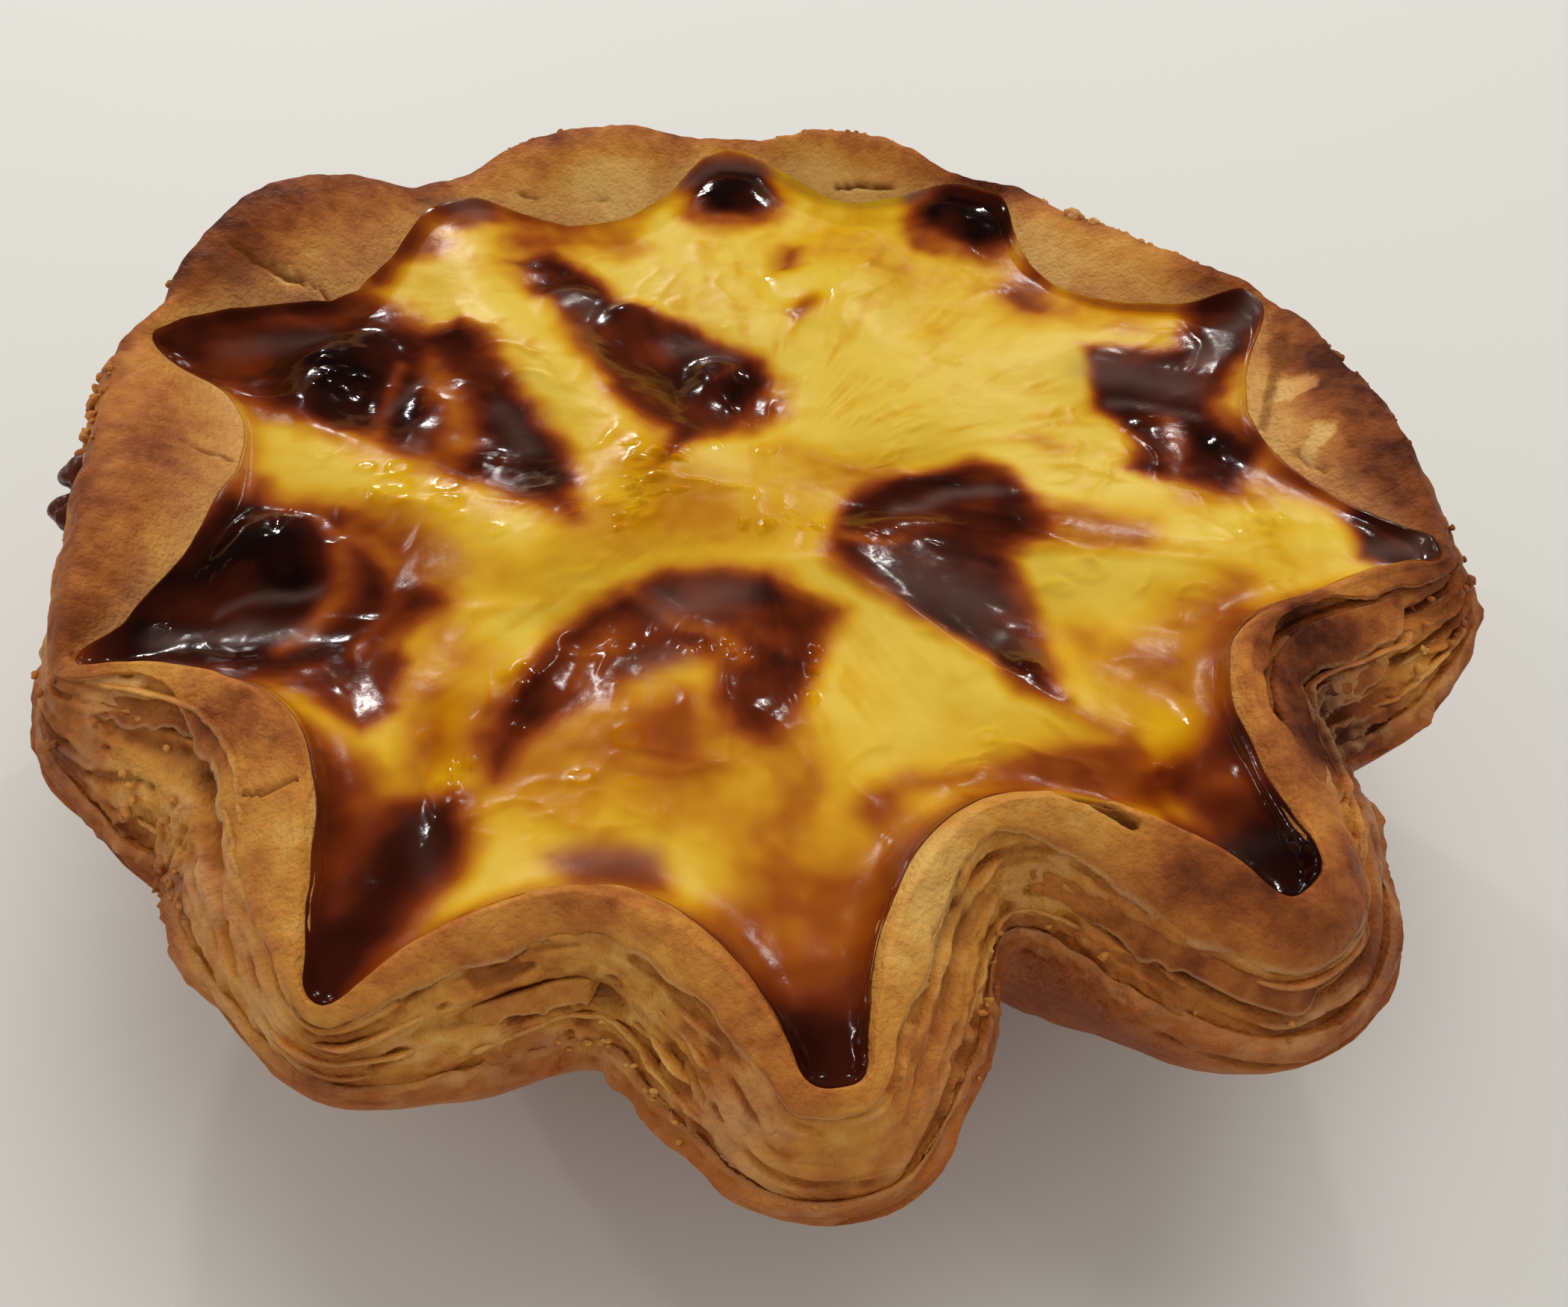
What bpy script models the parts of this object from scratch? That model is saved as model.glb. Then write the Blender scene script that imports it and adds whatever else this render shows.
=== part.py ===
"""Egg tart: a pastry cup whose rim is pressed into uneven folds, filled with baked custard.

Built in metres with +Z up. The underside lies on z = 0, and the origin is at the middle of the footprint.
The sizes and tables below are in millimetres and degrees.
"""

import math

import bpy
import bmesh
import numpy as np
from mathutils import Vector, noise

MM = 0.001

# Sizes.
CUSTARD_EDGE = 21.0  # from the underside up to the line where custard meets pastry
BASE_RADIUS = 19.0
BASE_ROUNDING = 0.8
FLOOR_THICKNESS = 3.5
FLOOR_RADIUS = 16.0
FLANK_EXTRA = 1.7  # the rim is thicker where it runs steeply inwards
DEEPEST_FOLD = 9.0
LAYER_DEPTH = 0.45  # of the grooves between pastry layers
PASTRY_WAVE = 0.3  # unevenness of the plain pastry
PASTRY_WAVE_SIZE = 6.0
LAYER_CHANGE = 1.6  # how much the grooves deepen and run out
LAYER_WAVE_SIZE = 4.0
SKIN_WAVE = 0.25
SKIN_WAVE_SIZE = 3.5
SKIN_RISE = 0.4  # of the custard's middle over its edge
SKIN_DISC = 19.0  # radius within which the custard's rows are plain circles
GAP = 0.35  # between custard and pastry

# Shapes.
LAYERS_FROM = 0.22  # share of the outer face above which its cap is plain
LAYERS_TO = 0.8  # and below which the last sheet is plain
DISC_SHARE = 0.5  # of the custard's rows that are circles
FACE_BLUNTNESS = 0.75
ROUND_SHARE = 0.55  # how much of the outer face is a quarter ellipse; the rest is straight
OUTER_BELLY = 1.3  # above 1, a wall starts upright and leans in more towards its foot
INNER_BELLY = 0.8
EVEN_SHARE = 0.5  # how far the spacing round the base is evened out
EDGE_HOLD = 6  # how closely the custard's relief runs out to its edge
GROOVE_LEAN = Vector((0.75, 0.66))  # outward and up, the way the layers stand out

# Counts.
SEGMENTS = 132  # round the tart
FINE_PER_SEGMENT = 8
TRACE_POINTS = 1440
CREST_EASE = 5  # in fine points
NORMAL_EASE = 12
LAYER_ROWS = 14  # down the outer face
WALL_ROWS = 6  # down the outer wall
INNER_ROWS = 4  # up the inner wall, from the floor to the custard's edge
FACE_ROWS = 4  # up the sloping inner face, from custard to crest
SKIN_RINGS = 12  # from the middle of the custard to its edge

PASTRY_SEED = Vector((7.3, 1.9, 4.6))
LAYER_SEED = Vector((2.4, 8.1, 3.7))
SKIN_SEED = Vector((5.2, 3.3, 9.1))

# Pockets of the rim: angle, radius of the crest, height of the crest over the custard's edge,
# rise of the custard, width of the inner face, width of the outer face, height of the lip.
POCKETS = (
    (31.3, 35.6, 2.9, 1.4, 1.0, 2.2, -3.0),
    (66.0, 34.6, 2.7, 1.6, 0.9, 2.4, -3.0),
    (95.6, 35.8, 2.9, 1.6, 1.0, 2.4, -3.0),
    (128.5, 36.2, 2.4, 1.5, 1.0, 2.4, -3.0),
    (163.0, 36.2, 3.0, 1.6, 1.4, 2.4, -3.2),
    (207.9, 34.2, 1.8, 0.9, 0.7, 2.6, -3.0),
    (245.4, 35.4, 1.2, 0.5, 0.5, 1.4, -3.6),
    (278.0, 35.0, 1.6, 0.7, 0.5, 2.2, -3.8),
    (312.2, 34.8, 2.4, 1.3, 0.5, 3.0, -3.1),
    (352.8, 35.6, 2.0, 1.1, 0.7, 2.8, -2.1),
)

# Folds between them: first and last angle, bluntness, inset of the crest, height of the crest, rise of the
# custard, width of the inner face, where along the fold it is widest, width of the outer face, height of the lip.
FOLDS = (
    (-5.0, 28.5, 0.80, 1.6, 3.1, 0.0, 5.1, 0.53, 2.8, -3.0),
    (33.5, 62.0, 0.80, 1.6, 2.9, 0.0, 5.1, 0.53, 2.8, -3.0),
    (71.0, 91.0, 0.80, 0.0, 4.3, 0.0, 2.8, 0.50, 2.6, -3.0),
    (99.5, 125.5, 0.80, 0.0, 4.3, 0.0, 5.3, 0.50, 2.6, -3.0),
    (132.0, 158.0, 0.80, -1.6, 5.2, 0.0, 6.8, 0.45, 2.8, -3.0),
    (167.5, 207.0, 0.90, 2.2, 3.7, 0.0, 6.8, 0.30, 2.8, -3.2),
    (209.0, 243.8, 0.80, 7.0, 3.8, 2.2, 1.2, 0.50, 6.8, -3.6),
    (246.8, 275.5, 0.60, 6.5, 3.6, 1.8, 1.6, 0.50, 3.2, -3.6),
    (280.0, 309.8, 0.50, 9.0, 4.0, 2.2, 1.6, 0.50, 3.0, -2.6),
    (314.5, 351.2, 0.80, 8.4, 3.2, 1.6, 1.4, 0.50, 5.6, -2.8),
)

# Clefts where the layers of the outer face stand apart: first and last angle, place at each end as a share
# of the face, spread as a share, depth.
CLEFTS = (
    (211.0, 240.0, 0.36, 0.52, 0.06, 1.6),
    (248.0, 266.0, 0.55, 0.62, 0.06, 1.8),
    (279.0, 290.0, 0.50, 0.42, 0.05, 1.0),
    (302.0, 318.0, 0.62, 0.58, 0.06, 1.8),
    (319.0, 349.0, 0.20, 0.34, 0.06, 2.8),
)

# Swells (+) and hollows (-) of the custard's skin: two ends of a line, height in its middle, spread.
SWELLS = (
    (-26.0, 4.0, -10.0, -6.0, 1.5, 4.5),
    (-20.0, 23.0, -6.0, 1.0, 1.7, 5.0),
    (-15.0, -19.0, -11.0, -10.0, 1.1, 4.0),
    (18.0, -18.0, 5.0, -7.0, 1.2, 3.5),
    (25.0, -4.0, 8.0, -3.5, 1.0, 3.5),
    (-6.0, -25.0, -2.0, -14.0, 0.8, 5.0),
    (10.0, 10.0, 22.0, 14.0, 1.1, 8.0),
    (-2.0, 29.0, 2.0, 14.0, 1.0, 6.0),
    (-29.0, 10.5, -14.0, 3.0, -1.6, 5.0),
    (-27.0, -9.0, -20.0, -9.5, -1.5, 5.0),
    (-13.0, 18.0, -2.0, 9.0, -1.4, 4.0),
    (-8.0, -11.0, 3.0, -10.0, -1.2, 4.0),
    (8.0, -1.0, 13.0, -9.0, -1.2, 4.0),
    (22.0, 9.0, 27.0, 7.0, -1.3, 4.0),
)


def smooth(value):
    """0 to 1 with level ends."""
    value = np.clip(value, 0.0, 1.0)
    return value * value * (3.0 - 2.0 * value)


def between_pockets(angles, column):
    """A pocket's value carried smoothly round the rim."""
    stops = np.array([pocket[0] for pocket in POCKETS])
    values = np.array([pocket[column] for pocket in POCKETS])
    turn = np.mod(angles, 360.0)
    after = np.searchsorted(stops, turn) % len(stops)
    before = after - 1
    span = np.mod(stops[after] - stops[before], 360.0)
    share = smooth(np.mod(turn - stops[before], 360.0) / span)
    return values[before] * (1.0 - share) + values[after] * share


def arch(phase):
    """Half a sine wave over 0 to 1, never below 0."""
    return np.clip(np.sin(math.pi * phase), 0.0, 1.0)


def rim_sizes(angles):
    """Crest radius and height, custard rise, widths of both faces and lip height at each angle."""
    radius, height, rise, inner, outer, lip = (between_pockets(angles, i) for i in range(1, 7))
    for first, last, bluntness, inset, top, climb, inner_width, widest, outer_width, lip_height in FOLDS:
        turn = np.mod(angles - first, 360.0)
        phase = np.where(turn < last - first, turn / (last - first), 0.0)
        crest = arch(phase) ** bluntness
        face = arch(phase ** (math.log(0.5) / math.log(widest))) ** FACE_BLUNTNESS
        flank = 4.0 * crest * (1.0 - crest) * max(inset, 0.0) / DEEPEST_FOLD
        radius = radius - inset * crest
        height = height + (top - height) * crest
        rise = rise + (climb - rise) * face
        inner = inner + (inner_width - inner) * face
        outer = outer + (outer_width - outer) * crest + FLANK_EXTRA * flank
        lip = lip + (lip_height - lip) * crest
    return radius, height, rise, inner, outer, lip


def rounded(points, reach):
    """A closed line with its corners eased over the given number of points."""
    kernel = np.hanning(2 * reach + 1)
    kernel /= kernel.sum()
    wrapped = np.concatenate([points[-reach:], points, points[:reach]])
    return np.stack([np.convolve(column, kernel, "valid") for column in wrapped.T], axis=1)


def rim_stations():
    """Evenly spaced places along the crest, the outward direction at each, and its sizes."""
    angles = np.linspace(0.0, 360.0, TRACE_POINTS, endpoint=False)
    turn = np.radians(angles)
    radius, *sizes = rim_sizes(angles)
    traced = np.stack([radius * np.cos(turn), radius * np.sin(turn), *sizes], axis=1)
    closed = np.concatenate([traced, traced[:1]])
    steps = np.linalg.norm(np.diff(closed[:, :2], axis=0), axis=1)
    walked = np.concatenate([[0.0], np.cumsum(steps)])
    even = np.linspace(0.0, walked[-1], SEGMENTS * FINE_PER_SEGMENT, endpoint=False)
    fine = rounded(np.stack([np.interp(even, walked, column) for column in closed.T], axis=1), CREST_EASE)
    eased = rounded(fine[:, :2], NORMAL_EASE)
    ahead = np.roll(eased, -1, axis=0) - np.roll(eased, 1, axis=0)
    ahead /= np.linalg.norm(ahead, axis=1)[:, None]
    outward = np.stack([ahead[:, 1], -ahead[:, 0]], axis=1)
    picked = slice(None, None, FINE_PER_SEGMENT)
    return fine[picked, :2], outward[picked], fine[picked, 2:].T


def ring(radius, crest):
    """Points of a circle below the stations, spaced half by their angles and half evenly."""
    angles = np.unwrap(np.arctan2(crest[:, 1], crest[:, 0]))
    even = np.linspace(0.0, 2.0 * math.pi, len(angles), endpoint=False)
    even += np.mean(angles - even)
    turn = angles + EVEN_SHARE * (even - angles)
    return radius * np.stack([np.cos(turn), np.sin(turn)], axis=1)


def row(plan, height):
    """One row of points round the tart at a height above the underside."""
    return np.column_stack([plan, np.broadcast_to(height, len(plan))])


def wave(points, size, seed):
    """A smooth random number from -1 to 1 at each point."""
    return np.array([noise.noise(Vector(point) / size + seed) for point in points])


def inner_wall(crest, outward, sizes, gap):
    """Rows from the floor up to the edge of the custard, moved in towards the custard by a gap."""
    _, rise, inner, _, _ = sizes
    floor = ring(FLOOR_RADIUS - gap, crest)
    edge = crest - outward * (inner + gap)[:, None]
    bottom = FLOOR_THICKNESS + gap
    top = CUSTARD_EDGE + rise
    rows = []
    for share in np.linspace(0.0, 1.0, INNER_ROWS + 1):
        rows.append(row(floor + (edge - floor) * share**INNER_BELLY, bottom + (top - bottom) * share))
    return rows


def inner_face(crest, outward, sizes):
    """Rows from the custard up to the crest, a slope that levels out at the crest."""
    height, rise, inner, _, _ = sizes
    rows = []
    for share in np.linspace(0.0, 1.0, FACE_ROWS + 1)[1:]:
        plan = crest - outward * (inner * (1.0 - share))[:, None]
        up = rise + (height - rise) * math.sin(0.5 * math.pi * share)
        face = row(plan, CUSTARD_EDGE + up)
        face[:, 2] += PASTRY_WAVE * arch(share) * wave(face, PASTRY_WAVE_SIZE, PASTRY_SEED)
        rows.append(face)
    return rows


def cleft_depth(angles, share):
    """How deep the clefts are at one share of the outer face."""
    depth = np.zeros(len(angles))
    for first, last, start, end, spread, deepest in CLEFTS:
        phase = np.clip(np.mod(angles - first, 360.0) / (last - first), 0.0, 1.0)
        centre = start + (end - start) * phase
        depth += deepest * arch(phase) * np.exp(-(((share - centre) / spread) ** 2))
    return depth


def outer_face(crest, outward, sizes):
    """Rows from the crest down to the lip: a plain cap, uneven ledges of pastry layers, then a plain sheet."""
    height, _, _, outer, lip = sizes
    angles = np.degrees(np.arctan2(crest[:, 1], crest[:, 0]))
    rows = []
    for i in range(1, LAYER_ROWS + 1):
        share = i / LAYER_ROWS
        out = ROUND_SHARE * math.sin(0.5 * math.pi * share) + (1.0 - ROUND_SHARE) * share
        down = ROUND_SHARE * (1.0 - math.cos(0.5 * math.pi * share)) + (1.0 - ROUND_SHARE) * share
        face = row(crest + outward * (outer * out)[:, None], CUSTARD_EDGE + height + (lip - height) * down)
        if LAYERS_FROM < share < LAYERS_TO:
            ledge = (-1.0) ** i * LAYER_DEPTH * (1.0 + LAYER_CHANGE * wave(face, LAYER_WAVE_SIZE, LAYER_SEED))
        else:
            ledge = PASTRY_WAVE * wave(face, PASTRY_WAVE_SIZE, PASTRY_SEED)
        ledge -= cleft_depth(angles, share)
        face[:, :2] += outward * (GROOVE_LEAN.x * ledge)[:, None]
        face[:, 2] += GROOVE_LEAN.y * ledge
        rows.append(face)
    return rows


def outer_wall(lip_row, crest):
    """Rows from the lip down to the base: the folds stay as flutes that fade out lower down."""
    base = ring(BASE_RADIUS, crest)
    rows = []
    for share in np.linspace(0.0, 1.0, WALL_ROWS + 1)[1:-1]:
        plan = lip_row[:, :2] + (base - lip_row[:, :2]) * share**OUTER_BELLY
        rows.append(row(plan, lip_row[:, 2] * (1.0 - share)))
    rows.append(row(base * (1.0 + BASE_ROUNDING / BASE_RADIUS), BASE_ROUNDING))
    rows.append(row(base, 0.0))
    return rows


def skin_relief(points):
    """Height of the custard's swells and hollows at each point."""
    total = np.zeros(len(points))
    for x1, y1, x2, y2, height, spread in SWELLS:
        start, along = np.array([x1, y1]), np.array([x2 - x1, y2 - y1])
        share = np.clip((points - start) @ along / (along @ along), 0.0, 1.0)
        away = np.linalg.norm(points - start - share[:, None] * along, axis=1)
        total += height * np.exp(-((away / spread) ** 2))
    return total


def skin(edge, crest):
    """Rows from the middle of the custard out to its edge."""
    rows = []
    for share in np.linspace(0.0, 1.0, SKIN_RINGS + 1)[1:]:
        plan = ring(SKIN_DISC * min(share / DISC_SHARE, 1.0), crest)
        plan += (edge[:, :2] - plan) * max(share - DISC_SHARE, 0.0) / (1.0 - DISC_SHARE)
        free = 1.0 - share**EDGE_HOLD
        relief = skin_relief(plan) + SKIN_RISE * (1.0 - share**2)
        face = row(plan, CUSTARD_EDGE + free * relief + (1.0 - free) * (edge[:, 2] - CUSTARD_EDGE))
        face[:, 2] += free * SKIN_WAVE * wave(face, SKIN_WAVE_SIZE, SKIN_SEED)
        rows.append(face)
    return rows


def pastry_rows():
    crest, outward, sizes = rim_stations()
    inside = inner_wall(crest, outward, sizes, 0.0) + inner_face(crest, outward, sizes)
    outside = outer_face(crest, outward, sizes)
    return inside + outside + outer_wall(outside[-1], crest)


def custard_rows():
    crest, outward, sizes = rim_stations()
    wall = inner_wall(crest, outward, sizes, GAP)
    return skin(wall[-1], crest) + wall[-2::-1]


def turned_drum(name, row_count, collection):
    """A plain drum turned from a profile: its rows lie at z = -1, -2 ... and its ends close on the axis."""
    mesh = bpy.data.meshes.new(name)
    outline = bmesh.new()
    heights = [-1] + list(range(-1, -row_count - 1, -1)) + [-row_count]
    radii = [0] + [1] * row_count + [0]
    corners = [outline.verts.new((radius, 0, height)) for radius, height in zip(radii, heights)]
    for upper, lower in zip(corners, corners[1:]):
        outline.edges.new((upper, lower))
    outline.to_mesh(mesh)
    outline.free()
    drum = bpy.data.objects.new(name, mesh)
    collection.objects.link(drum)
    turn = drum.modifiers.new("Turn", "SCREW")
    turn.steps = SEGMENTS
    turn.render_steps = SEGMENTS
    turn.use_merge_vertices = True
    turn.merge_threshold = 0.0001
    bpy.context.view_layer.update()
    turned = bpy.data.meshes.new_from_object(drum.evaluated_get(bpy.context.evaluated_depsgraph_get()))
    drum.modifiers.clear()
    drum.data = turned
    bpy.data.meshes.remove(mesh)
    turned.name = name
    return drum


def press(drum, rows, middle):
    """Moves every point of the drum to its place in the rows, and the ends of the axis to their middles."""
    for vertex in drum.data.vertices:
        x, y, z = vertex.co
        index = round(-z) - 1
        if math.hypot(x, y) > 0.5:
            station = round(math.atan2(y, x) / (2.0 * math.pi) * SEGMENTS) % SEGMENTS
            place = rows[index][station] - middle
        else:
            place = np.array([-middle[0], -middle[1], rows[index][:, 2].mean()])
        vertex.co = Vector(place) * MM
    drum.data.update()


def finish(piece, colour, roughness):
    """Smooth shading and a plain surface."""
    piece.data.shade_smooth()
    surface = bpy.data.materials.new(piece.name)
    surface.use_nodes = True
    shader = surface.node_tree.nodes["Principled BSDF"]
    shader.inputs["Base Color"].default_value = (*colour, 1.0)
    shader.inputs["Roughness"].default_value = roughness
    shader.inputs["Metallic"].default_value = 0.0
    piece.data.materials.clear()
    piece.data.materials.append(surface)


def main():
    for old in list(bpy.data.objects):
        bpy.data.objects.remove(old, do_unlink=True)
    tart = bpy.data.collections.new("egg tart")
    bpy.context.scene.collection.children.link(tart)

    pastry = pastry_rows()
    points = np.concatenate(pastry)
    middle = (points.min(axis=0) + points.max(axis=0)) / 2.0
    middle[2] = 0.0

    crust = turned_drum("crust", len(pastry), tart)
    press(crust, pastry, middle)
    finish(crust, (0.42, 0.20, 0.07), 0.6)

    filling = custard_rows()
    custard = turned_drum("custard", len(filling), tart)
    press(custard, filling, middle)
    finish(custard, (0.76, 0.45, 0.06), 0.25)


main()
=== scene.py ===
import copy
import math

import bpy
import numpy as np
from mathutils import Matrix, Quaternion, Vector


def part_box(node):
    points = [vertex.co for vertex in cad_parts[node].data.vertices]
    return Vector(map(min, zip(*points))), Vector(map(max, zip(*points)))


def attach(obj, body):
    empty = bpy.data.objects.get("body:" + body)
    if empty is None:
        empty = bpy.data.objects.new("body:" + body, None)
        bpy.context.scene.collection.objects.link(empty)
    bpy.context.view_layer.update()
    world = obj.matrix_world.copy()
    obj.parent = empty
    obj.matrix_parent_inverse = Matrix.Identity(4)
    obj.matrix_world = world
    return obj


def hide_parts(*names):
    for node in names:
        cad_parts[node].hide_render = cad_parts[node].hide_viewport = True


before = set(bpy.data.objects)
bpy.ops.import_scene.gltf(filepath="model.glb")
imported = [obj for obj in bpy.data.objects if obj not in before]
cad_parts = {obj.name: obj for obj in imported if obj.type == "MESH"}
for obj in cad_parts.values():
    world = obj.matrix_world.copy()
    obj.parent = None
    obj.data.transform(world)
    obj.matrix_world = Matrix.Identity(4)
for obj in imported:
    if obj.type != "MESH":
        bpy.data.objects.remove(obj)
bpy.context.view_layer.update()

# The rim, in millimetres and degrees, from the middle of the tart. Heights count from the custard's edge.
rim = {
    "custardEdge": 21.0,  # above the underside
    "middle": (0.22, 0.6),  # of the solids' outline
    "baseRadius": 19.0,
    "floorThickness": 3.5,
    "floorRadius": 16.0,
    "flankExtra": 1.7,
    "deepestFold": 9.0,
    "faceBluntness": 0.75,
    "roundShare": 0.55,
    "crestEase": 2.0,
    "normalEase": 3.3,
    # places round the rim: for its sizes, for its even trace, in a coarse piece and in a fine one
    "drawnAngles": 5760,
    "tracedStations": 5600,
    "coarseStations": 800,
    "fineStations": 1400,
    "outerBelly": 1.3,
    "innerBelly": 0.8,
    # unevenness of the top sheet, inside the crest and across it: amount, size, seed
    "faceWaves": [(0.45, 5.0, 41.0), (0.16, 1.8, 42.0), (0.06, 0.7, 43.0)],
    "sheetLumps": [(0.22, 3.4, 54.0), (0.13, 1.2, 55.0), (0.09, 0.55, 57.0)],
    "lumpsUp": 0.78,
    "lumpsOut": 0.62,
    # angle, crest radius, crest height, custard rise, inner width, outer width, lip height
    "pockets": [
        (31.3, 35.6, 2.9, 1.4, 1.0, 2.2, -3.0),
        (66.0, 34.6, 2.7, 1.6, 0.9, 2.4, -3.0),
        (95.6, 35.8, 2.9, 1.6, 2.2, 2.4, -3.0),
        (128.5, 36.2, 2.4, 1.5, 2.6, 2.4, -3.0),
        (165.0, 36.5, 3.0, 1.6, 1.4, 2.8, -3.2),
        (207.9, 34.2, 1.8, 0.9, 0.7, 2.6, -3.0),
        (245.4, 35.4, 1.2, 0.5, 0.5, 1.4, -3.6),
        (278.0, 35.0, 1.6, 0.7, 0.5, 2.7, -3.8),
        (312.2, 34.8, 2.4, 1.3, 0.5, 4.2, -3.1),
        (352.8, 35.6, 2.0, 1.1, 0.7, 2.8, -2.1),
    ],
    # first and last angle, bluntness, inset, crest height, custard climb, inner width, where it is widest,
    # outer width, lip height
    "folds": [
        (-5.0, 28.5, 0.80, 0.4, 3.1, 0.0, 6.2, 0.53, 2.8, -3.0),
        (33.5, 62.0, 0.80, 1.6, 2.9, 0.0, 4.6, 0.53, 2.8, -3.0),
        (71.0, 91.0, 0.80, 0.0, 4.3, 0.0, 2.8, 0.50, 2.6, -3.0),
        (99.5, 125.5, 0.80, 0.0, 4.3, 0.0, 5.9, 0.50, 2.6, -3.0),
        (132.0, 161.5, 0.80, -1.6, 5.2, 0.0, 6.8, 0.45, 2.8, -3.0),
        (168.2, 207.0, 0.90, 2.2, 3.7, 0.0, 6.8, 0.30, 2.8, -3.2),
        (209.0, 243.8, 0.80, 7.0, 3.8, 2.2, 1.2, 0.50, 6.8, -3.6),
        (246.8, 275.5, 0.60, 6.5, 3.6, 1.8, 1.6, 0.50, 3.2, -3.6),
        (280.0, 309.8, 0.50, 9.0, 4.0, 2.2, 1.6, 0.50, 3.0, -2.6),
        (314.5, 351.2, 0.80, 8.4, 3.2, 1.6, 1.4, 0.50, 5.6, -2.8),
    ],
    # first and last angle, place at each end as a share of the face, spread, depth
    "clefts": [
        (211.0, 240.0, 0.36, 0.52, 0.06, 1.6),
        (248.0, 266.0, 0.55, 0.62, 0.06, 1.8),
        (279.0, 290.0, 0.50, 0.42, 0.05, 1.0),
        (302.0, 318.0, 0.62, 0.58, 0.06, 1.8),
        (319.0, 349.0, 0.20, 0.34, 0.06, 2.8),
    ],
}


# Marks are placed where the camera sees them on a level plane just over the custard's edge.
sight = {
    "eye": (2.06, -57.25, 67.54),  # millimetres from the middle of the rim
    "plane": 21.5,
}


def seenPlan(points):
    eye = np.array(sight["eye"])
    share = (eye[2] - sight["plane"]) / (eye[2] - points[:, 2])
    return eye[:2] + (points[:, :2] - eye[:2]) * share[:, None]


def ease(value):
    value = np.clip(value, 0.0, 1.0)
    return value * value * (3.0 - 2.0 * value)


# Smooth uneven numbers from -1 to 1 at points in millimetres, always the same for one seed.
def unevenness(points, size, seed):
    cell = np.asarray(points, float) / size + seed * 17.31
    low = np.floor(cell)
    part = ease(cell - low)
    low = low.astype(np.int64)
    total = np.zeros(len(cell))
    for corner in range(8):
        step = np.array([corner & 1, corner >> 1 & 1, corner >> 2 & 1])
        place = low + step
        mixed = (place[:, 0] * 73856093) ^ (place[:, 1] * 19349663) ^ (place[:, 2] * 83492791)
        mixed = (mixed ^ (mixed >> 13)) * 1274126177 & 0x7FFFFFFF
        value = ((mixed ^ (mixed >> 16)) & 0xFFFF) / 32767.5 - 1.0
        total += value * np.prod(np.where(step, part, 1.0 - part), axis=1)
    return total


# Unevenness at several scales, each with its amount, size and seed.
def layered(points, parts):
    return sum(amount * unevenness(points, size, seed) for amount, size, seed in parts)


# Signed degrees from a bearing.
def turnFrom(angles, bearing):
    return np.mod(angles - bearing + 180.0, 360.0) - 180.0


# A bump of height 1 that fades with distance.
def hump(away, spread):
    return np.exp(-((away / spread) ** 2))


# How far each angle has come from the first (0) to the last (1), and 0 outside them.
def partWay(angles, first, last):
    turn = np.mod(angles - first, 360.0)
    return np.where(turn < last - first, turn / (last - first), 0.0)


# One of the pockets' sizes at any angle, eased from each pocket to the next.
def carried(angles, column):
    stops = np.array([pocket[0] for pocket in rim["pockets"]])
    values = np.array([pocket[column] for pocket in rim["pockets"]])
    turn = np.mod(angles, 360.0)
    after = np.searchsorted(stops, turn) % len(stops)
    before = after - 1
    span = np.mod(stops[after] - stops[before], 360.0)
    share = ease(np.mod(turn - stops[before], 360.0) / span)
    return values[before] * (1.0 - share) + values[after] * share


def arch(phase):
    return np.clip(np.sin(math.pi * phase), 0.0, 1.0)


# The pockets' sizes with the folds between them added.
def rimSizes(angles):
    radius, height, rise, inner, outer, lip = (carried(angles, i) for i in range(1, 7))
    for first, last, bluntness, inset, top, climb, innerWidth, widest, outerWidth, lipHeight in rim["folds"]:
        phase = partWay(angles, first, last)
        crest = arch(phase) ** bluntness
        face = arch(phase ** (math.log(0.5) / math.log(widest))) ** rim["faceBluntness"]
        flank = 4.0 * crest * (1.0 - crest) * max(inset, 0.0) / rim["deepestFold"]
        radius = radius - inset * crest
        height = height + (top - height) * crest
        rise = rise + (climb - rise) * face
        inner = inner + (innerWidth - inner) * face
        outer = outer + (outerWidth - outer) * crest + rim["flankExtra"] * flank
        lip = lip + (lipHeight - lip) * crest
    return radius, height, rise, inner, outer, lip


# A closed row of values, smoothed over a number of stations each way.
def rounded(points, reach):
    kernel = np.hanning(2 * reach + 1)
    kernel /= kernel.sum()
    wrapped = np.concatenate([points[-reach:], points, points[:reach]])
    return np.stack([np.convolve(column, kernel, "valid") for column in wrapped.T], axis=1)


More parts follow.
